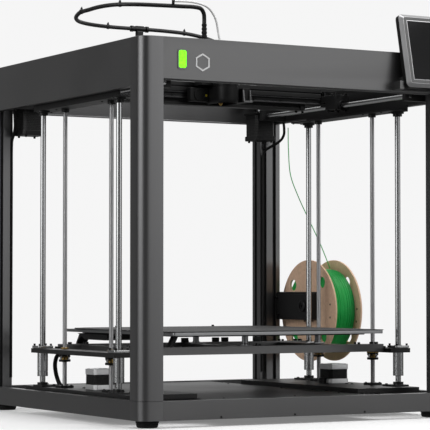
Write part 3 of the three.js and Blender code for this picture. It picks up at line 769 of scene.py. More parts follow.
def make_panels():
    low, high = layout_box("header_front")
    screws = [button_screw("y", (x, 0.2, 15.4), 1.9, 0.9, down=True) for x in (148.3, 290.8, 430.8)]
    refine("base_front", "panel", "painted_steel", 0.7, extra=screws)
    refine("header_front", "panel", "painted_steel", 0.6)
    hem = Piece("header_front_hem", "panel")
    hem.add(block(low.x + 1, high.x - 1, 11.6, 14, 565.6, 568.4, 0.7))
    hem.place("frame", "painted_steel")
    refine("header_rear", "panel", "painted_steel", 0.7)
    refine("base_rear", "panel", "painted_steel", 0.6)
    for side in ("left", "right"):
        refine("header_" + side, "panel", "painted_steel", 0.7)
        refine("base_" + side, "panel", "painted_steel", 0.7)
    tops = [button_screw("z", (x, y, 42), 2.3, 1.1)
            for x in (190, 330, 472) for y in (64, 560)]
    tops += [button_screw("z", (x, y, 42), 2.3, 1.1) for x in (166, 456) for y in (120, 315, 510)]
    refine("base_deck", "deck", "painted_steel", 0.5, extra=tops)

    lens = Piece("status_lens", "lamp")
    lens.add(prism(rectangle(68.4, 82.4, 586.2, 615, 3.5, 5), "y", -0.5, 2.4, 0.5))
    lens.place("frame")
    housing = Piece("status_lamp_housing", "plastic")
    housing.add(block(66, 85, 2.1, 9, 584, 617, 1.2))
    housing.place("frame", "black_plastic")
    rim = Piece("status_lens_rim", "panel")
    outer = rectangle(65.8, 85.2, 583.8, 617.2, 4.4, 5)
    inner = rectangle(68.3, 82.5, 586.1, 615.1, 3.4, 5)
    rim.add(loop_band(outer, inner, "y", -0.35, 0.2))
    rim.place("frame", "painted_steel")

    mark = Piece("plain_hexagon_mark", "white")
    angles = [math.radians(60 * k + 30) for k in range(6)]
    corners, inner = ([(MARK_X + r * math.cos(a), MARK_Z + r * math.sin(a)) for a in angles]
                      for r in (MARK_RADIUS, MARK_RADIUS * 0.8))
    mark.add(loop_band(corners, inner, "y", -0.25, 0.2))
    mark.place("frame")


def loop_band(outer, inner, axis, start, end):
    """A flat band between two outlines with the same number of points."""
    turn = AXIS_TURN[axis]
    rings = (outer, start), (inner, start), (inner, end), (outer, end)
    return skin([[turn @ Vector((u, v, w)) for u, v in line] for line, w in rings], around=True)


# ---- Z drive -------------------------------------------------------------------------
ROD_YS = (135, 436.5)
SCREW_YS = (194, 377)
ROD_X = 28
SCREW_X = 43.5
MOTOR_X = 69
LIFT_Y = 286


def four(x, y, reach):
    """The corners of a square about a point."""
    return [(x + dx, y + dy) for dx in (-reach, reach) for dy in (-reach, reach)]


def on_side(x, side):
    return WIDTH - x if side == "right" else x


def make_lift():
    for side in ("left", "right"):
        rod_x, screw_x = on_side(ROD_X + 16, side), on_side(SCREW_X, side)
        extra = [button_screw("z", (rod_x, y + dy, 53), 3.0, 1.6) for y in ROD_YS for dy in (-14, 14)]
        extra += [button_screw("z", (*spot, 54), 2.3, 1.2)
                  for y in SCREW_YS for spot in four(screw_x, y, 9)]
        extra += [button_screw("z", (on_side(SCREW_X + 20, side), y, 50), 3.2, 1.6)
                  for y in (232, 250, 322, 340)]
        refine("lift_plate_" + side, "black_steel", "black_steel", 0.5, extra=extra)
        extra = [button_screw("z", (on_side(ROD_X + 15 + d, side), y + 17, 546), 2.2, 1.2, down=True)
                 for y in ROD_YS + SCREW_YS for d in (-9, 9)]
        refine("top_rail_" + side, "black_steel", "black_steel", 0.4, extra=extra)
        for end in ("front", "rear"):
            make_rod(f"z_rod_{end}_{side}", "z", "steel")
            make_screw(end, side)
            make_bush(end, side)
        make_rod("y_rod_" + side, "y", "rod_y")
        make_lift_motor(side)
        make_lift_belt(side)


def make_rod(node, axis, material):
    low, high = layout_box(node)
    middle = (low + high) / 2
    start = (middle.x, middle.y, low.z) if axis == "z" else (middle.x, low.y, middle.z)
    length = high.z - low.z if axis == "z" else high.y - low.y
    radius = (high.x - low.x) / 2
    Piece(node + "_ground", material).add(rod(axis, start, radius, length)).place(
        body_of(node), "bright_steel", [node])


def make_screw(end, side):
    """A four-start lead screw, a thread crest every 2 mm, with its belt pulley near the foot."""
    node = f"z_screw_{end}_{side}"
    low, high = layout_box(node)
    centre = Vector(((low.x + high.x) / 2, (low.y + high.y) / 2, 0))
    sides = 16
    rings = []
    z = low.z
    while z < high.z - 0.01:
        ring = []
        for i in range(sides):
            turn = i / sides
            phase = (z / 2 - 4 * turn) % 1
            depth = 0.5 * min(1.0, max(0.0, abs(phase - 0.5) * 4 - 0.5))
            r = 4 - depth
            a = 2 * math.pi * turn
            ring.append((centre.x + r * math.cos(a), centre.y + r * math.sin(a), z))
        rings.append(ring)
        z += 0.5
    piece = Piece(node + "_threaded", "thread", "aluminium")
    piece.add(skin(rings))
    z0 = 26
    profile = [(5, 0), (13, 0), (13, 1), (11.6, 1.2)]
    profile += [(11.6, 7.8), (13, 8), (13, 9), (7, 9), (7, 14), (5, 14)]
    piece.add(lathe("z", (centre.x, centre.y, z0), profile, 40), mat=1)
    piece.place(body_of(node), "screw_steel", [node])


def make_bush(end, side):
    node = f"z_bush_{end}_{side}"
    low, high = layout_box(node)
    x = on_side(ROD_X, side)
    y = ROD_YS[0] if end == "front" else ROD_YS[1]
    flange = high.z - 4.5
    piece = Piece(node + "_turned", "steel", "screw", "plastic")
    profile = [(5.4, 0.4), (6.2, 0), (9.1, 0), (9.5, 0.5), (9.5, 8), (9.2, 8.3), (9.2, 9.3), (9.5, 9.6)]
    length = flange - low.z
    profile += [(9.5, length - 3), (9.5, length + 1), (5.4, length + 1)]
    piece.add(lathe("z", (x, y, low.z), profile, 36))
    outline = rectangle(x - 15, x + 15, y - 15, y + 15, 3.5, 5)
    piece.add(prism(outline, "z", flange, high.z, 0.5))
    piece.add(ring_shape("z", (x, y, high.z - 0.3), 7.4, 5.3, 1.0), mat=2)
    for spot in four(x, y, 11):
        piece.add(cap_screw("z", (*spot, high.z), 2.2), mat=1)
    piece.place("bed", "bright_steel", [node])


def cut_square(x, y, half, cut):
    return [(x - half + cut, y - half), (x + half - cut, y - half), (x + half, y - half + cut),
            (x + half, y + half - cut), (x + half - cut, y + half), (x - half + cut, y + half),
            (x - half, y + half - cut), (x - half, y - half + cut)]


def make_lift_motor(side):
    node = "z_motor_" + side
    low, high = layout_box(node)
    x = (low.x + high.x) / 2
    y = (low.y + high.y) / 2
    piece = Piece(node + "_stepper", "cap", "lamination", "screw", "plastic")
    piece.add(prism(cut_square(x, y, 21.1, 4.6), "z", low.z, low.z + 8.6, 0.6))
    piece.add(prism(cut_square(x, y, 21.1, 4.6), "z", high.z - 9.8, high.z, 0.8))
    z = low.z + 8.6
    while z < high.z - 10:
        piece.add(prism(cut_square(x, y, 20.5, 5.4), "z", z, z + 1.5, 0.25, 1), mat=1)
        z += 1.62
    for spot in four(x, y, 15.5):
        piece.add(cap_screw("z", (*spot, high.z - 3.2), 2.6), mat=2)
    piece.add(lathe("z", (x, y, high.z - 0.2), [(11, 0), (11, 0.9), (10.4, 1.2), (3, 1.2), (3, 0.6)], 36))
    inward = -1 if side == "right" else 1
    a, b = sorted((x + inward * 20, x + inward * 27))
    piece.add(block(a, b, y - 8, y + 8, low.z + 1, low.z + 10, 0.5), mat=3)
    piece.place("frame", "motor_body", [node])


def belt_outline(circles, thickness, segments=10):
    """The outer and inner line of a belt round pulleys (x, y, radius), as a convex hull."""
    points = []
    for x, y, r in circles:
        for k in range(segments * 4):
            a = 2 * math.pi * k / (segments * 4)
            points.append((x + r * math.cos(a), y + r * math.sin(a), x, y, r))
    points.sort()

    def half(seq):
        out = []
        for p in seq:
            while len(out) > 1 and ((out[-1][0] - out[-2][0]) * (p[1] - out[-2][1])
                                    - (out[-1][1] - out[-2][1]) * (p[0] - out[-2][0])) <= 0:
                out.pop()
            out.append(p)
        return out[:-1]

    hull = half(points) + half(reversed(points))
    outer = [(cx + (x - cx) * (r + thickness) / r, cy + (y - cy) * (r + thickness) / r)
             for x, y, cx, cy, r in hull]
    return outer, [(x, y) for x, y, *_ in hull]


def make_lift_belt(side):
    """The closed belt under a lift plate that turns both lead screws from the motor's pulley."""
    circles = [(on_side(SCREW_X, side), y, 12.0) for y in SCREW_YS]
    circles.append((on_side(MOTOR_X, side), LIFT_Y, 12.0))
    outer, inner = belt_outline(circles, 1.4)
    piece = Piece("lift_belt_" + side, "rubber", "aluminium")
    piece.add(loop_band(outer, inner, "z", 27.6, 33.4))
    x = on_side(MOTOR_X, side)
    profile = [(2.4, 0), (13, 0), (13, 1), (11.6, 1.2), (11.6, 7.8), (13, 8), (13, 9), (7, 9), (7, 16.2),
               (2.4, 16.2)]
    piece.add(lathe("z", (x, LIFT_Y, 26), profile, 40), mat=1)
    piece.place("frame", "rubber")


# ---- bed -----------------------------------------------------------------------------
def make_bed():
    low, high = layout_box("bed_plate")
    piece = Piece("bed_plate_machined", "aluminium", "plastic", "screw")
    piece.add(prism(rectangle(low.x, high.x, low.y, high.y, 4, 6), "z", low.z, high.z, 0.5))
    pad = rectangle(low.x + 22, high.x - 22, low.y + 22, high.y - 22, 8, 5)
    piece.add(prism(pad, "z", low.z - 2.2, low.z + 0.2, 0.4), mat=1)
    piece.place("bed", "aluminium", ["bed_plate"])

    refine("bed_sheet", "sheet", "print_surface", 0.3)
    pins = Piece("bed_sheet_pins", "screw")
    for x in (205, 412):
        pins.add(lathe("z", (x, high.y - 3.5, high.z + 0.2), [(2.6, 0), (2.6, 3.4), (1.9, 4.2)], 20))
    pins.place("bed", "black_steel")

    low, high = layout_box("bed_truss")
    extra = [cap_screw("z", (x, y, 126), 2.8) for x in (104, 311, 518) for y in (149, 161, 410, 422)]
    extra += [block(x - 7, x + 7, 424, 428.6, 126, 134, 0.6) for x in (380, 400, 314, 470)]
    extra += [cap_screw("z", (x, y, 126), 4.2) for x in (62, 72, 550, 560) for y in (156, 416)]
    refine("bed_truss", "panel", "painted_steel", 0.5, extra=extra)
    feet = Piece("stand_off_feet", "aluminium")
    for x, y in ((104, 286), (518, 286), (311, 200), (311, 378)):
        feet.add(prism(rectangle(x - 13, x + 13, y - 8, y + 8, 3), "z", 124.3, 126.2, 0.3))
        feet.add(lathe("z", (x, y, 126), [(6.6, 0), (6.6, 2.4), (5.6, 3.2), (5.6, 16.5), (6.4, 17.2),
                                          (6.4, 20.4)], 24))
    feet.place("bed", "aluminium")

    cover = Piece("heater_terminal_cover", "plastic")
    profile = [(345, 137.5), (354, 133.2), (438, 133.2), (446, 137.5), (462, 143), (470, 144.2),
               (345, 144.2)]
    cover.add(prism(profile, "x", 112, 172, 0.8))
    strap = [(446, 141), (452, 141.5), (462, 138), (470, 132), (476, 126), (480, 121), (480, 119),
             (484, 119), (484, 123), (478, 131), (472, 138), (468, 144.2), (446, 144.2)]
    cover.add(prism(strap, "x", 116, 136, 0.5))
    leg = [(118, 126.4), (124, 126.4), (132, 138), (135, 144.2), (127, 144.2), (124, 139)]
    cover.add(prism(leg, "y", 124, 136, 0.4))
    cover.place("bed", "black_plastic")

    for side in ("left", "right"):
        extra = [cap_screw("z", (on_side(48.5, side), y, 118.5), 3.6) for y in (150, 160, 412, 422)]
        refine("bed_arm_" + side, "black_steel", "black_steel", 0.6, extra=extra)
        for y in SCREW_YS:
            make_lift_nut(side, y)


def make_lift_nut(side, y):
    """A brass lead screw nut with a black spring-loaded second nut under the arm."""
    x = on_side(SCREW_X, side)
    end = "front" if y < LIFT_Y else "rear"
    piece = Piece(f"lift_nut_{end}_{side}", "brass", "plastic", "screw")
    piece.add(ring_shape("z", (x, y, 118.8), 7.2, 4.3, 2.2))
    piece.add(ring_shape("z", (x, y, 108.9), 11, 4.3, 1.4, 0.2))
    piece.add(ring_shape("z", (x, y, 107.3), 10.6, 5.9, 1.5, 0.3), mat=1)
    piece.add(ring_shape("z", (x, y, 95.5), 5.6, 4.3, 12.2))
    piece.add(ring_shape("z", (x, y, 96), 10.4, 5.9, 4.2, 0.6), mat=1)
    for k in range(4):
        piece.add(ring_shape("z", (x, y, 100.9 + 1.7 * k), 9, 7.2, 1.1, 0.3, 24), mat=2)
    for spot in four(x, y, 8.6 * math.sqrt(0.5)):
        piece.add(cap_screw("z", (*spot, 107.4), 2.0, down=True), mat=2)
    piece.place("bed")


# ---- gantry and toolhead -------------------------------------------------------------
def make_beam():
    """The gantry beam: grooved upper section, lower flange, blackened rail and its screws."""
    low, high = layout_box("gantry_beam")
    y0, y1 = 312.0, high.y
    z0, z1 = low.z, high.z
    upper = [(y0, z0 + 10), (y1, z0 + 10), (y1, z0 + 18), (y1 - 5, z0 + 20), (y1 - 5, z0 + 30),
             (y1, z0 + 32), (y1, z1), (y0, z1), (y0, z1 - 7), (y0 + 2.4, z1 - 7.4), (y0 + 2.4, z1 - 9.6),
             (y0, z1 - 10), (y0, z1 - 17), (y0 + 2.4, z1 - 17.4), (y0 + 2.4, z1 - 18.8), (y0, z1 - 19)]
    beam = Piece("gantry_beam_extrusion", "black_steel", "dark_rail", "screw")
    beam.add(prism(upper, "x", low.x, high.x, 0.3))
    lower = [(y0, z0), (y1, z0), (y1, z0 + 11), (y0, z0 + 11), (y0, z0 + 8.6), (y0 + 2.6, z0 + 8.2),
             (y0 + 2.6, z0 + 5.4), (y0, z0 + 5)]
    beam.add(prism(lower, "x", low.x + 42, high.x - 42, 0.4))
    for x in (low.x + 36, high.x - 46):
        beam.add(block(x, x + 10, y0 - 1.6, y1 - 2, z0 + 1, z0 + 12, 0.5))
    for x in (low.x + 48, high.x - 48, high.x - 34):
        beam.add(cap_screw("z", (x, 323, z0), 2.6, down=True), mat=2)
    rail = [(305, 569), (312.2, 569), (312.2, 581), (305, 581), (305, 579.2), (307, 577.6), (307, 572.4),
            (305, 570.8)]
    beam.add(prism(rail, "x", low.x + 6, high.x - 6, 0.25), mat=1)
    screw = [(2.2, 0), (2.2, -0.3), (1.2, -0.3), (1.0, 0.4)]
    for k in range(8):
        beam.add(lathe("y", (low.x + 30 + k * 57, 305, 575), screw, 14), mat=2)
    beam.place("gantry", "black_steel", ["gantry_beam"])


def make_carriage(side):
    """A Y carriage block with its screws, the bush rings on its rod and its belt wheels."""
    node = "y_carriage_" + side
    low, high = layout_box(node)
    middle = (low + high) / 2
    extra = []
    for dx in (-11, 11):
        extra += [cap_screw("z", (middle.x + dx, middle.y + dy, high.z), 3) for dy in (-36, -24, 24, 36)]
        extra += [cap_screw("z", (middle.x + dx, y, low.z), 2.4, down=True) for y in (267, 293)]
    refine(node, "black_steel", "black_steel", 0.8, extra=extra)
    ends = Piece(node + "_bushes", "dark_rail")
    for y in (low.y - 1.6, 297.4):
        ends.add(ring_shape("y", (middle.x, y, 566), 9.5, 5.0, 2.2))
    ends.place("gantry", "bright_steel")
    idlers = Piece(node + "_idlers", "dark_rail")
    wheel = [(3, 0), (9.5, 0), (9.5, 1), (8, 1.2), (8, 8), (9.5, 8.2), (9.5, 9.2), (4, 9.2)]
    for dy in (14, 34):
        idlers.add(lathe("z", (middle.x, middle.y + dy, high.z), wheel, 28))
    idlers.place("gantry", "aluminium")


def make_gantry():
    make_beam()
    for side in ("left", "right"):
        make_carriage(side)


COVER_RADIUS = 21
NOZZLE_Y = 286


def cover_outline(cx, front_centre, back, r):
    """Straight sides from the back and a half circle at the front."""
    line = [(cx - r, back)]
    line += [(cx + r * math.cos(a), front_centre + r * math.sin(a))
             for a in (math.pi + math.pi * k / 24 for k in range(25))]
    return line + [(cx + r, back)]


def make_cover(cx):
    low, high = layout_box("toolhead_cover")
    front_centre = low.y + COVER_RADIUS
    back = high.y
    shell = Piece("toolhead_cover_shell", "plastic", "grey_plastic", "screw")
    levels = [(low.z, 2.2), (low.z + 1.2, 1.0), (low.z + 4, 0.2), (low.z + 8, 0), (low.z + 30, 0),
              (low.z + 30.5, 0.5), (low.z + 31.3, 0.5), (low.z + 31.8, 0), (high.z - 3, 0),
              (high.z - 1, 0.8), (high.z, 2.4)]
    outer = [[(x, y, z) for x, y in cover_outline(cx, front_centre, back, COVER_RADIUS - d)]
             for z, d in levels]
    inner = [[(x, y, z) for x, y in cover_outline(cx, front_centre, back, 18.4)]
             for z in (high.z - 2.4, low.z)]
    shell.add(open_shell(outer, inner))
    for k in range(6):
        z = low.z + 34 + 4 * k
        shell.add(block(cx - 9, cx + 9, low.y - 0.25, low.y + 1.0, z, z + 1.6, 0.2), mat=2)
    shell.place("toolhead", "black_plastic", ["toolhead_cover"])


def make_fans(cx):
    """The carriage with its screws, the side fan and the cooling duct."""
    low, high = layout_box("toolhead_carriage")
    screws = [cap_screw("z", (cx + dx, y, high.z), 3.4) for dx in (-32, 32) for y in (308, 332)]
    refine("toolhead_carriage", "plastic", "black_plastic", 0.8, extra=screws)
    fan = Piece("toolhead_fans", "plastic", "screw", "grey_plastic")
    x = low.x
    fan.add(ring_shape("y", (x + 19, 292.7, 575.5), 11, 9.6, -1.6, -0.2, 36))
    fan.add(prism([(x - 1, 566), (x + 6, 563), (x + 6, 588), (x - 1, 588)], "y", 291, 304, 0.8))
    lip = [(338, 249), (356.5, 249), (356.5, 255.2), (338, 255.2)]
    fan.add(prism(lip, "z", 561.5, 564.5, 0.3), mat=2)
    wall = [(249, 561.5), (255.2, 561.5), (255.2, 584), (252.4, 584)]
    for x0, x1 in ((338, 340.4), (352.4, 354)):
        fan.add(prism(wall, "x", x0, x1, 0.2), mat=2)
    fan.place("toolhead", "black_plastic")


def make_hotend(cx):
    """Finned heat sink, heater block, nozzle, heat break and the push-in tube fitting."""
    y = NOZZLE_Y
    hot = Piece("hotend_assembly", "aluminium", "brass", "steel", "plastic")
    for k in range(8):
        hot.add(ring_shape("z", (cx, y, 582 + 2.7 * k), 10, 3.2, 1.2, 0.2, 28))
    hot.add(rod("z", (cx, y, 579.5), 3.4, 25, 0.2, 20))
    hot.add(block(cx - 9, cx + 9, y - 9, y + 9, 569, 579.5, 0.6))
    nozzle = [(0.5, 0), (0.9, 0), (3.2, 3.4), (3.6, 3.6), (-4.4, 3.8), (-4.4, 8), (3, 8.2), (3, 12.8)]
    hot.add(lathe("z", (cx, y, 556.5), nozzle, 24), mat=1)
    hot.add(rod("z", (cx, y, 566.3), 2.6, 3.4, 0.2, 18), mat=2)
    fitting = [(6.6, 0), (6.6, 18), (7, 18.4), (7, 23), (5.4, 24), (-6.2, 24.2), (-6.2, 27), (3.4, 27.4),
               (3.4, 29)]
    hot.add(lathe("z", (cx, y, 603), fitting, 28), mat=3)
    hot.place("toolhead", "aluminium", ["hotend"])


def make_relief():
    """The tapered, ribbed rubber sleeve in which the umbilical leaves the toolhead."""
    low, high = layout_box("cable_relief")
    length = high.z - low.z
    profile = [(7, 0), (7, 6)]
    ribs = 12
    for k in range(ribs):
        z = 8 + (length - 12) * k / ribs
        r = 6.6 - 1.9 * k / ribs
        profile += [(r, z), (r, z + 3.4), (r - 0.9, z + 3.9), (r - 0.9, z + 5.6)]
    profile += [(4.7, length - 3), (4.6, length)]
    profile = [(r, z) for r, z in profile if z <= length]
    relief = Piece("cable_relief_taper", "rubber")
    relief.add(lathe("z", ((low.x + high.x) / 2, (low.y + high.y) / 2, low.z), profile, 28))
    relief.place("toolhead", "rubber", ["cable_relief"])


def make_toolhead():
    low, high = layout_box("toolhead_cover")
    cx = (low.x + high.x) / 2
    make_cover(cx)
    make_fans(cx)
    make_hotend(cx)
    make_relief()
    mark = Piece("round_yellow_mark", "yellow")
    mark.add(lathe("y", (284.4, 292.7, 574.6), [(2.2, 0), (2.2, -0.35)], 20))
    mark.place("toolhead")


def open_shell(outer, inner):
    """A cup: its outside rings from the bottom up, a flat top, and its inside open at the bottom."""
    bm = bmesh.new()
    rows = [[bm.verts.new(p) for p in ring] for ring in outer + inner]
    top = len(outer) - 1
    for k, (low, high) in enumerate(zip(rows, rows[1:])):
        if k != top:
            bridge(bm, low, high)
    bm.faces.new(rows[top])
    bm.faces.new(list(reversed(rows[top + 1])))
    bridge(bm, rows[-1], rows[0])
    bmesh.ops.recalc_face_normals(bm, faces=bm.faces[:])
    return bm


# ---- upper motors and belts ----------------------------------------------------------
XY_MOTOR_Y = DEPTH - 62
XY_BRACKET = 570
BELT_Z = 590
IDLER_Y = 51


def make_xy_motors():
    for side in ("left", "right"):
        node = "xy_motor_" + side
        low, high = layout_box(node)
        x = (low.x + high.x) / 2
        y = XY_MOTOR_Y
        bottom = low.z
        piece = Piece(node + "_stepper", "lamination", "plastic", "aluminium", "screw")
        piece.add(prism(cut_square(x, y, 24, 5), "z", bottom, bottom + 9, 0.8), mat=1)
        for spot in four(x, y, 16):
            piece.add(cap_screw("z", (*spot, bottom), 2.4, down=True), mat=3)
        z = bottom + 9
        while z < XY_BRACKET - 10:
            top = min(z + 3.1, XY_BRACKET - 8)
            piece.add(prism(cut_square(x, y, 21.9, 5), "z", z, top, 0.2, 1))
            z = top + 0.1
        piece.add(prism(cut_square(x, y, 22, 4.6), "z", XY_BRACKET - 9, XY_BRACKET, 0.6), mat=1)
        piece.add(block(x - 24, x + 24, y - 24, y + 22, XY_BRACKET, XY_BRACKET + 4, 0.6), mat=1)
        piece.add(rod("z", (x, y, XY_BRACKET + 3), 2.5, 26, 0.3, 18), mat=2)
        profile = [(3, 0), (6, 0), (6, 8.4), (8, 8.6), (8, 9.8), (6.2, 10.1), (6.2, 16.4), (8, 16.7),
                   (8, 18), (3, 18)]
        piece.add(lathe("z", (x, y, XY_BRACKET + 8.6), profile, 32), mat=2)
        piece.place("frame", "motor_body", [node])
        make_drive_belt(side, x, y)
        make_motor_cable(side)


def make_drive_belt(side, x, y):
    """The fixed run of the drive belt from a rear motor to its idler near the front post."""
    front = IDLER_Y
    outer, inner = belt_outline([(x, y, 6.2), (x, front, 6.2)], 1.3)
    piece = Piece("drive_belt_" + side, "rubber", "aluminium", "black_steel")
    piece.add(loop_band(outer, inner, "z", BELT_Z, BELT_Z + 4))
    wheel = [(2.6, 0), (8, 0), (8, 1.2), (6.2, 1.5), (6.2, 5.7), (8, 6), (8, 7), (2.6, 7)]
    piece.add(lathe("z", (x, front, BELT_Z - 1.6), wheel, 28), mat=1)
    piece.add(rod("z", (x, front, BELT_Z - 2), 2.4, 12, 0.2, 14), mat=1)
    piece.add(block(x - 9, x + 9, 41, front + 9, BELT_Z + 6.2, BELT_Z + 9.2, 0.5), mat=2)
    piece.place("frame", "rubber")


def make_motor_cable(side):
    """The short lead from a rear motor into the channel of its post."""
    if side == "right":
        line = [(609, 556, 560), (611, 556, 553), (612.5, 557, 543), (613, 559, 533), (609, 563, 523),
                (600, 571, 514), (591, 582, 507), (585.5, 590, 500), (585.5, 594.5, 488)]
        line += [(585.5, 594.8, z) for z in (470, 430, 300, 160, 60)]
    else:
        line = [(24, 556, 560), (25, 557, 550), (27, 560, 538), (30, 566, 527), (33, 576, 518),
                (35.5, 586, 511), (36, 593, 503)]
        line += [(36, 594.8, z) for z in (490, 430, 300, 160, 60)]
    piece = Piece("motor_cable_" + side, "rubber")
    piece.add(pipe(smooth_path(line, 5), 2.7, 12))
    piece.place("frame", "cable_sheath")


def make_bed_cable():
    """The heater lead: from the left arm in a slack bow down to the lift plate."""
    line = [(57, 424, 109), (56, 432, 106), (56, 440, 99), (56, 444, 88), (56.5, 442, 75),
            (57.5, 436, 62), (58.5, 428, 53), (60, 420, 50.6)]
    path = smooth_path(line, 6)
    obj = Piece("bed_heater_cable", "rubber").add(pipe(path, 3.8, 14)).place()
    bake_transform(obj)


# ---- touch screen --------------------------------------------------------------------
TILT = math.radians(12)
SCREEN_W = 124
SCREEN_H = 132


def screen_points(bm):
    """Turns (across, up, out) points of the screen into layout points."""
    hx, hy, hz = joint_point("screen_tilt")
    sine, cosine = math.sin(TILT), math.cos(TILT)
    for v in bm.verts:
        x, u, w = v.co
        v.co = (hx + x, hy + u * sine - w * cosine, hz + u * cosine + w * sine)
    return bm


def screen_layer(levels, segments=4):
    """Rings of rounded rectangles (inset, out) of the screen, as one skin."""
    rings = []
    for inset, out in levels:
        radius = max(1.0, 7.5 - inset * 0.6)
        line = arc_outline([(-SCREEN_W / 2 + inset, -12 + inset, radius),
                            (SCREEN_W / 2 - inset, -12 + inset, radius),
                            (SCREEN_W / 2 - inset, SCREEN_H - 12 - inset, radius),
                            (-SCREEN_W / 2 + inset, SCREEN_H - 12 - inset, radius)], segments)
        rings.append([(x, u, out) for x, u in line])
    return screen_points(skin(rings))


def make_screen():
    shell = Piece("screen_shell", "plastic", "trim_and_painted_highlight", "bezel", "glass")
    layers = [
        (0, [(5, -7), (1.2, -5.6), (0.2, -4), (0, -2), (0, 4.6), (0.15, 5)]),
        # material 1 is the light grey trim, partly a painted highlight on the chamfer
        (1, [(0.4, 4.9), (0.15, 5.1), (5.2, 10.4), (5.9, 10.9), (6.4, 10.9), (6.6, 9.8)]),
        (2, [(6.3, 9), (6.3, 10.7), (6.7, 11), (11.8, 11), (12.2, 10.8), (12.4, 9.6), (12.4, 9)]),
        (1, [(12.1, 9), (12.1, 11.05), (12.4, 11.15), (13.1, 11.15), (13.3, 10.4), (13.3, 9)]),
        (3, [(13, 8.6), (13, 10.3), (13.3, 10.5)]),
    ]
    for material, levels in layers:
        shell.add(screen_layer(levels), mat=material)
    shell.place("screen", "screen_plastic", ["screen_housing"])

    back = Piece("screen_back_details", "plastic", "screw")
    for k in range(9):
        x = -24 + 6 * k
        back.add(screen_points(block(x - 1.2, x + 1.2, 62, 96, -7.6, -6.6, 0.2, 1)), mat=0)
    for x in (-52, 52):
        for u in (0, 112):
            back.add(screen_points(lathe("z", (x, u, -7.1), [(3, 0.4), (3, -0.9), (2, -1.3), (-1.4, -1.3),
                                                             (-1.3, -0.2)], 16)), mat=1)
    back.place("screen", "screen_plastic")

    hinge = Piece("screen_hinge", "plastic", "screw")
    hinge.add(screen_points(lathe("x", (-61, -1, -8.5), [(3, -0.4), (3, 1), (5, 1), (5, 0)], 18)))
    for x0 in (-60, 46):
        barrel = [(4, 0), (6.4, 0.8), (6.4, 12.2), (4, 13)]
        hinge.add(screen_points(lathe("x", (x0, -1, -8.5), barrel, 24)))
        screw = lathe("x", (x0 - 0.6, -1, -8.5), [(3, 0), (3, 0.8), (-1.6, 0.8), (-1.6, 0.2)], 18)
        hinge.add(screen_points(screw), mat=1)
        hinge.add(screen_points(block(x0 + 1, x0 + 12, -10, 12, -9, -5, 0.8)))
    hinge.place("screen", "screen_plastic")


# ---- spool ---------------------------------------------------------------------------
SPOOL_RADIUS = 100
BORE_RADIUS = 26
# the dark dots in each wall: distance from the axis, angle
WALL_DOTS = (((81, 171), (81, 189)), ((87, 177.6), (87, 194)))
THREAD_PITCH = 1.77


def polar(y, z, distance, angle):
    a = math.radians(angle)
    return y + distance * math.cos(a), z + distance * math.sin(a)


def make_spool():
    low, high = layout_box("spool")
    _, y, z = joint_point("spool_spin")
    for k, (x0, x1) in enumerate(((low.x, low.x + 4), (high.x - 4, high.x))):
        flange = Piece(f"spool_flange_{'ab'[k]}", "cardboard", "port")
        flange.add(holed_disc(x0, x1, y, z, SPOOL_RADIUS, BORE_RADIUS))
        for distance, angle in WALL_DOTS[k]:
            flange.add(rod("x", (x0 - 0.15, *polar(y, z, distance, angle)), 2.1, 1, 0.1, 16), mat=1)
        flange.place("spool", "cardboard")
    hub = Piece("spool_hub", "cardboard")
    hub.add(ring_shape("x", (low.x + 3.6, y, z), 40, 26.2, high.x - low.x - 7.2, 0.4, 64))
    hub.place("spool", "cardboard", ["spool"])

    low, high = layout_box("filament_winding")
    turns = int((high.x - low.x) / THREAD_PITCH)
    radius = (high.z - low.z) / 2
    random.seed(7)
    profile = [(40.5, 0)]
    for k in range(turns):
        x = k * THREAD_PITCH + 0.02
        crown = radius - random.choice((0, 0, 0, 0.25, 0.9)) - (0.8 if k in (0, turns - 1) else 0)
        for step in range(5):
            a = math.pi * (step + 0.5) / 5
            profile.append((crown - 0.88 + 0.88 * math.sin(a), x + THREAD_PITCH / 2 - 0.88 * math.cos(a)))
    profile.append((40.5, turns * THREAD_PITCH + 0.04))
    wound = Piece("filament_turns", "filament")
    wound.add(turned("x", (low.x, y, z), profile, 120))
    wound.place("spool", "filament", ["filament_winding"])


def holed_disc(x0, x1, y, z, radius, bore):
    """A spool wall with its bore, four round windows and small lightening holes, cut by booleans."""
    body = ring_shape("x", (x0, y, z), radius, bore, x1 - x0, 0.5, 128)
    tools = bmesh.new()
    holes = [(75, 42 + 90 * k, 11.5) for k in range(4)]
    holes += [(81, a, 1.9) for a in (81, 99, 261, 279, -9, 9)]
    for distance, angle, r in holes:
        through = [(r, 0), (r, x1 - x0 + 4)]
        sides = 28 if r > 5 else 12
        pour(lathe("x", (x0 - 2, *polar(y, z, distance, angle)), through, sides), tools)
    return subtract(body, tools)


def subtract(body, tools):
    """The first mesh part less the second one."""
    objects = []
    for name, bm in (("body", body), ("tools", tools)):
        data = bpy.data.meshes.new(name)
        bm.to_mesh(data)
        bm.free()
        objects.append(new_object(name, data))
    cut = objects[0].modifiers.new("cut", "BOOLEAN")
    cut.operation = "DIFFERENCE"
    cut.solver = "EXACT"
    cut.object = objects[1]
    graph = bpy.context.evaluated_depsgraph_get()
    made = bmesh.new()
    made.from_mesh(bpy.data.meshes.new_from_object(objects[0].evaluated_get(graph)))
    for obj in objects:
        bpy.data.objects.remove(obj)
    return made


KNOB_Y, KNOB_Z = 489, 191


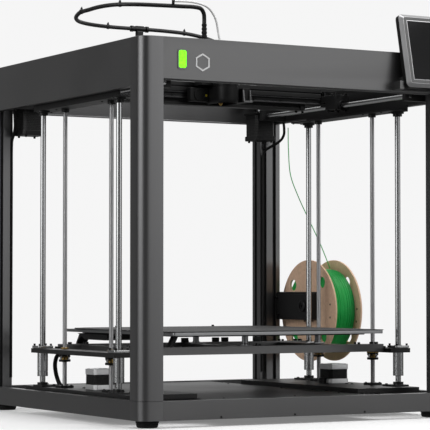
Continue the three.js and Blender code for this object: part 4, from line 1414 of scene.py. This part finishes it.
def make_bracket():
    x0 = WIDTH - 10
    piece = Piece("spool_bracket_moulded", "plastic", "screw")
    outline = rectangle(464, DEPTH - 40.4, 164, 219, 4, 5)
    piece.add(prism(outline, "x", x0 + 1.5, WIDTH + 12, 1.4))
    piece.add(prism(rectangle(469, DEPTH - 45, 169, 214, 3, 5), "x", x0, x0 + 2, 0.6))
    _, y, z = joint_point("spool_spin")
    arm = [(20, 0), (20, 2.6), (16, 4), (16, 70), (19, 72), (19, 75.5), (17, 77), (5, 77), (5, 75)]
    piece.add(lathe("x", (WIDTH + 11, y, z), arm, 48))
    knob = [(12, 0), (12, -2.6), (10.6, -3.6), (7, -3.6), (7, -2), (-3, -2), (-3, 1)]
    piece.add(lathe("x", (x0 + 0.4, KNOB_Y, KNOB_Z), knob, 36))
    for k in range(6):
        ky, kz = polar(KNOB_Y, KNOB_Z, 8.8, 60 * k)
        piece.add(block(x0 - 3.4, x0 - 1.4, ky - 0.9, ky + 0.9, kz - 0.9, kz + 0.9, 0.2, 1), mat=1)
    for screw_y, screw_z in ((578, 174), (584, 208)):
        piece.add(cap_screw("x", (x0, screw_y, screw_z), 3, down=True), mat=1)
    piece.place("frame", "black_plastic", ["spool_bracket"])


def make_cable_post():
    low, high = layout_box("cable_post")
    x = (low.x + high.x) / 2
    y = (low.y + high.y) / 2
    piece = Piece("cable_post_moulded", "plastic", "screw")
    piece.add(prism(rectangle(low.x, high.x, low.y, high.y, 3, 5), "z", low.z, low.z + 3.7, 0.7))
    stem = [(y - 5, low.z + 3), (y + 5, low.z + 3), (y + 5, high.z - 3), (y + 4, high.z), (y - 4, high.z),
            (y - 5, high.z - 3)]
    piece.add(prism(stem, "x", x - 6.5, x + 6.5, 0.8))
    top = high.z
    for x0, x1, r in ((x - 19, x - 14, 6), (x + 14, x + 19, 6), (x - 11, x + 11, 5.2)):
        line = [Vector((x0, y, top + 3.8)), Vector((x1, y, top + 3.8))]
        piece.add(pipe(line, r, 20))
    piece.add(block(x - 9, x + 9, y - 3.4, y + 3.4, top + 6, top + 9.6, 0.6))
    for dx in (-13, 13):
        piece.add(button_screw("z", (x + dx, y, low.z + 3.6), 3, 1.6), mat=1)
    piece.place("frame", "black_plastic", ["cable_post"])


# ---- rear details --------------------------------------------------------------------
def make_rear():
    inlet = Piece("mains_inlet", "port", "steel", "plastic")
    inlet.add(block(101, 139, DEPTH - 20, DEPTH - 14, 20, 36, 0.6))
    for x, z in ((112, 26), (120, 31), (128, 26)):
        inlet.add(block(x - 1, x + 1, DEPTH - 15, DEPTH - 5, z - 2.4, z + 2.4, 0.3), mat=1)
    inlet.add(prism(rectangle(152, 174, 17, 39, 1.5, 4), "y", DEPTH - 0.4, DEPTH + 1.4, 0.4), mat=2)
    inlet.add(prism(rectangle(155, 171, 19.5, 36.5, 1, 3), "y", DEPTH + 1.2, DEPTH + 3, 0.8), mat=2)
    inlet.place("frame")
    vents = Piece("rear_vents", "port", "screw")
    for k in range(22):
        x = 300 + 9 * k
        vents.add(prism(rectangle(x - 2, x + 2, 20, 37, 1.9, 4), "y", DEPTH - 0.6, DEPTH + 0.15))
    for x in (60, 200, 420, 562):
        for z in (28, 600):
            vents.add(button_screw("y", (x, DEPTH, z), 2.8, 1.3), mat=1)
    vents.place("frame")


# ---- stage, light, sky ---------------------------------------------------------------
def make_stage():
    bm = bmesh.new()
    size = 40
    for x, y in ((-size, -size), (size, -size), (size, size), (-size, size)):
        bm.verts.new((x, y, 0))
    bm.faces.new(bm.verts[:])
    data = bpy.data.meshes.new("floor")
    bm.to_mesh(data)
    bm.free()
    data.materials.append(floor_material())
    floor = new_object("floor", data)


BACKDROP = 0.92
FLOOR_GLOW = 0.2
FLOOR_BOUNCE = 0.2
WORLD_BASE = 0.1
# a direction, where its light starts and is full (cosines), and how bright it is
WORLD_LIGHT = [
    ((0.5, 0.87, 0), 0.58, 0.95, 0.85),
    ((0.3, 0.2, 1), 0.45, 1.0, 0.5),
    ((0.34, -0.94, 0), 0.72, 0.97, 1.2),
    ((-1, 0, 0), 0.86, 0.97, 2.4),
]
# name, azimuth, height, distance, size, power
SOFT_BOXES = [
    ("left", 8, 30, 3.4, (1.2, 1.4), 30),
    ("front_right", 132, 42, 3.2, (1.6, 1.4), 40),
    ("overhead", 95, 80, 3.0, (1.8, 1.8), 32),
]


def floor_material():
    """Plain pale floor that turns into the backdrop's even tone away from the printer."""
    n = Nodes("studio_floor")
    n.set(Roughness=0.6, Specular_IOR_Level=0.15)
    n.link(n.grey_ramp(n.noise(1.5, 2), 0.80, 0.83, 0.2, 0.8), n.shader.inputs["Base Color"])
    distance = n.add("ShaderNodeVectorMath", operation="LENGTH")
    n.link(n.where, distance.inputs[0])
    spread = n.add("ShaderNodeMapRange", interpolation_type="SMOOTHSTEP")
    spread.inputs["From Min"].default_value = 0.45
    spread.inputs["From Max"].default_value = 1.5
    n.link(distance.outputs["Value"], spread.inputs["Value"])
    both = n.add("ShaderNodeAddShader")
    n.link(n.shader.outputs["BSDF"], both.inputs[0])
    n.link(n.glow(FLOOR_GLOW), both.inputs[1])
    blend = n.blend(spread.outputs["Result"], both.outputs["Shader"], n.glow(BACKDROP))
    seen = n.add("ShaderNodeLightPath").outputs["Is Camera Ray"]
    final = n.blend(seen, n.glow(FLOOR_BOUNCE), blend)
    output = next(x for x in n.tree.nodes if x.type == "OUTPUT_MATERIAL")
    n.link(final, output.inputs["Surface"])
    return n.material


def area_light(name, azimuth, height, distance, size, power):
    """A soft box that looks at the printer from an azimuth counted from -X towards -Y."""
    a = math.radians(azimuth)
    e = math.radians(height)
    place = Vector((-math.cos(a) * math.cos(e), -math.sin(a) * math.cos(e), math.sin(e))) * distance
    place.z += 0.35
    data = bpy.data.lights.new(name, "AREA")
    data.shape = "RECTANGLE"
    data.size, data.size_y = size
    data.energy = power
    light = new_object(name, data)
    light.location = place
    light.rotation_euler = (Vector((0, 0, 0.35)) - place).to_track_quat("-Z", "Y").to_euler()
    light.visible_camera = False


def make_world():
    """Even pale backdrop for the eye; for the light it is bright behind the printer and dim elsewhere."""
    world = bpy.data.worlds.new("studio")
    bpy.context.scene.world = world
    world.use_nodes = True
    tree = world.node_tree
    shader = tree.nodes["Background"]
    way = tree.nodes.new("ShaderNodeTexCoord").outputs["Generated"]
    total = None
    for toward, start, end, amount in WORLD_LIGHT:
        dot = tree.nodes.new("ShaderNodeVectorMath")
        dot.operation = "DOT_PRODUCT"
        dot.inputs[1].default_value = Vector(toward).normalized()
        tree.links.new(way, dot.inputs[0])
        part = tree.nodes.new("ShaderNodeMapRange")
        part.interpolation_type = "SMOOTHSTEP"
        for key, value in (("From Min", start), ("From Max", end), ("To Max", amount)):
            part.inputs[key].default_value = value
        tree.links.new(dot.outputs["Value"], part.inputs["Value"])
        add = tree.nodes.new("ShaderNodeMath")
        tree.links.new(part.outputs["Result"], add.inputs[0])
        if total is None:
            add.inputs[1].default_value = WORLD_BASE
        else:
            tree.links.new(total, add.inputs[1])
        total = add.outputs["Value"]
    seen = tree.nodes.new("ShaderNodeLightPath").outputs["Is Camera Ray"]
    pick = tree.nodes.new("ShaderNodeMix")
    tree.links.new(seen, pick.inputs["Factor"])
    tree.links.new(total, pick.inputs["A"])
    pick.inputs["B"].default_value = BACKDROP
    tree.links.new(pick.outputs["Result"], shader.inputs["Color"])


def make_lights():
    make_world()
    for row in SOFT_BOXES:
        area_light(*row)
    view = bpy.context.scene.view_settings
    view.view_transform = "Standard"
    view.look = "None"


# ---- build ---------------------------------------------------------------------------
make_camera()
MATERIALS = make_materials()
make_cords()
make_bed_cable()
make_posts()
make_panels()
make_lift()
make_bed()
make_gantry()
make_toolhead()
make_xy_motors()
make_screen()
make_spool()
make_bracket()
make_cable_post()
make_rear()
make_stage()
make_lights()
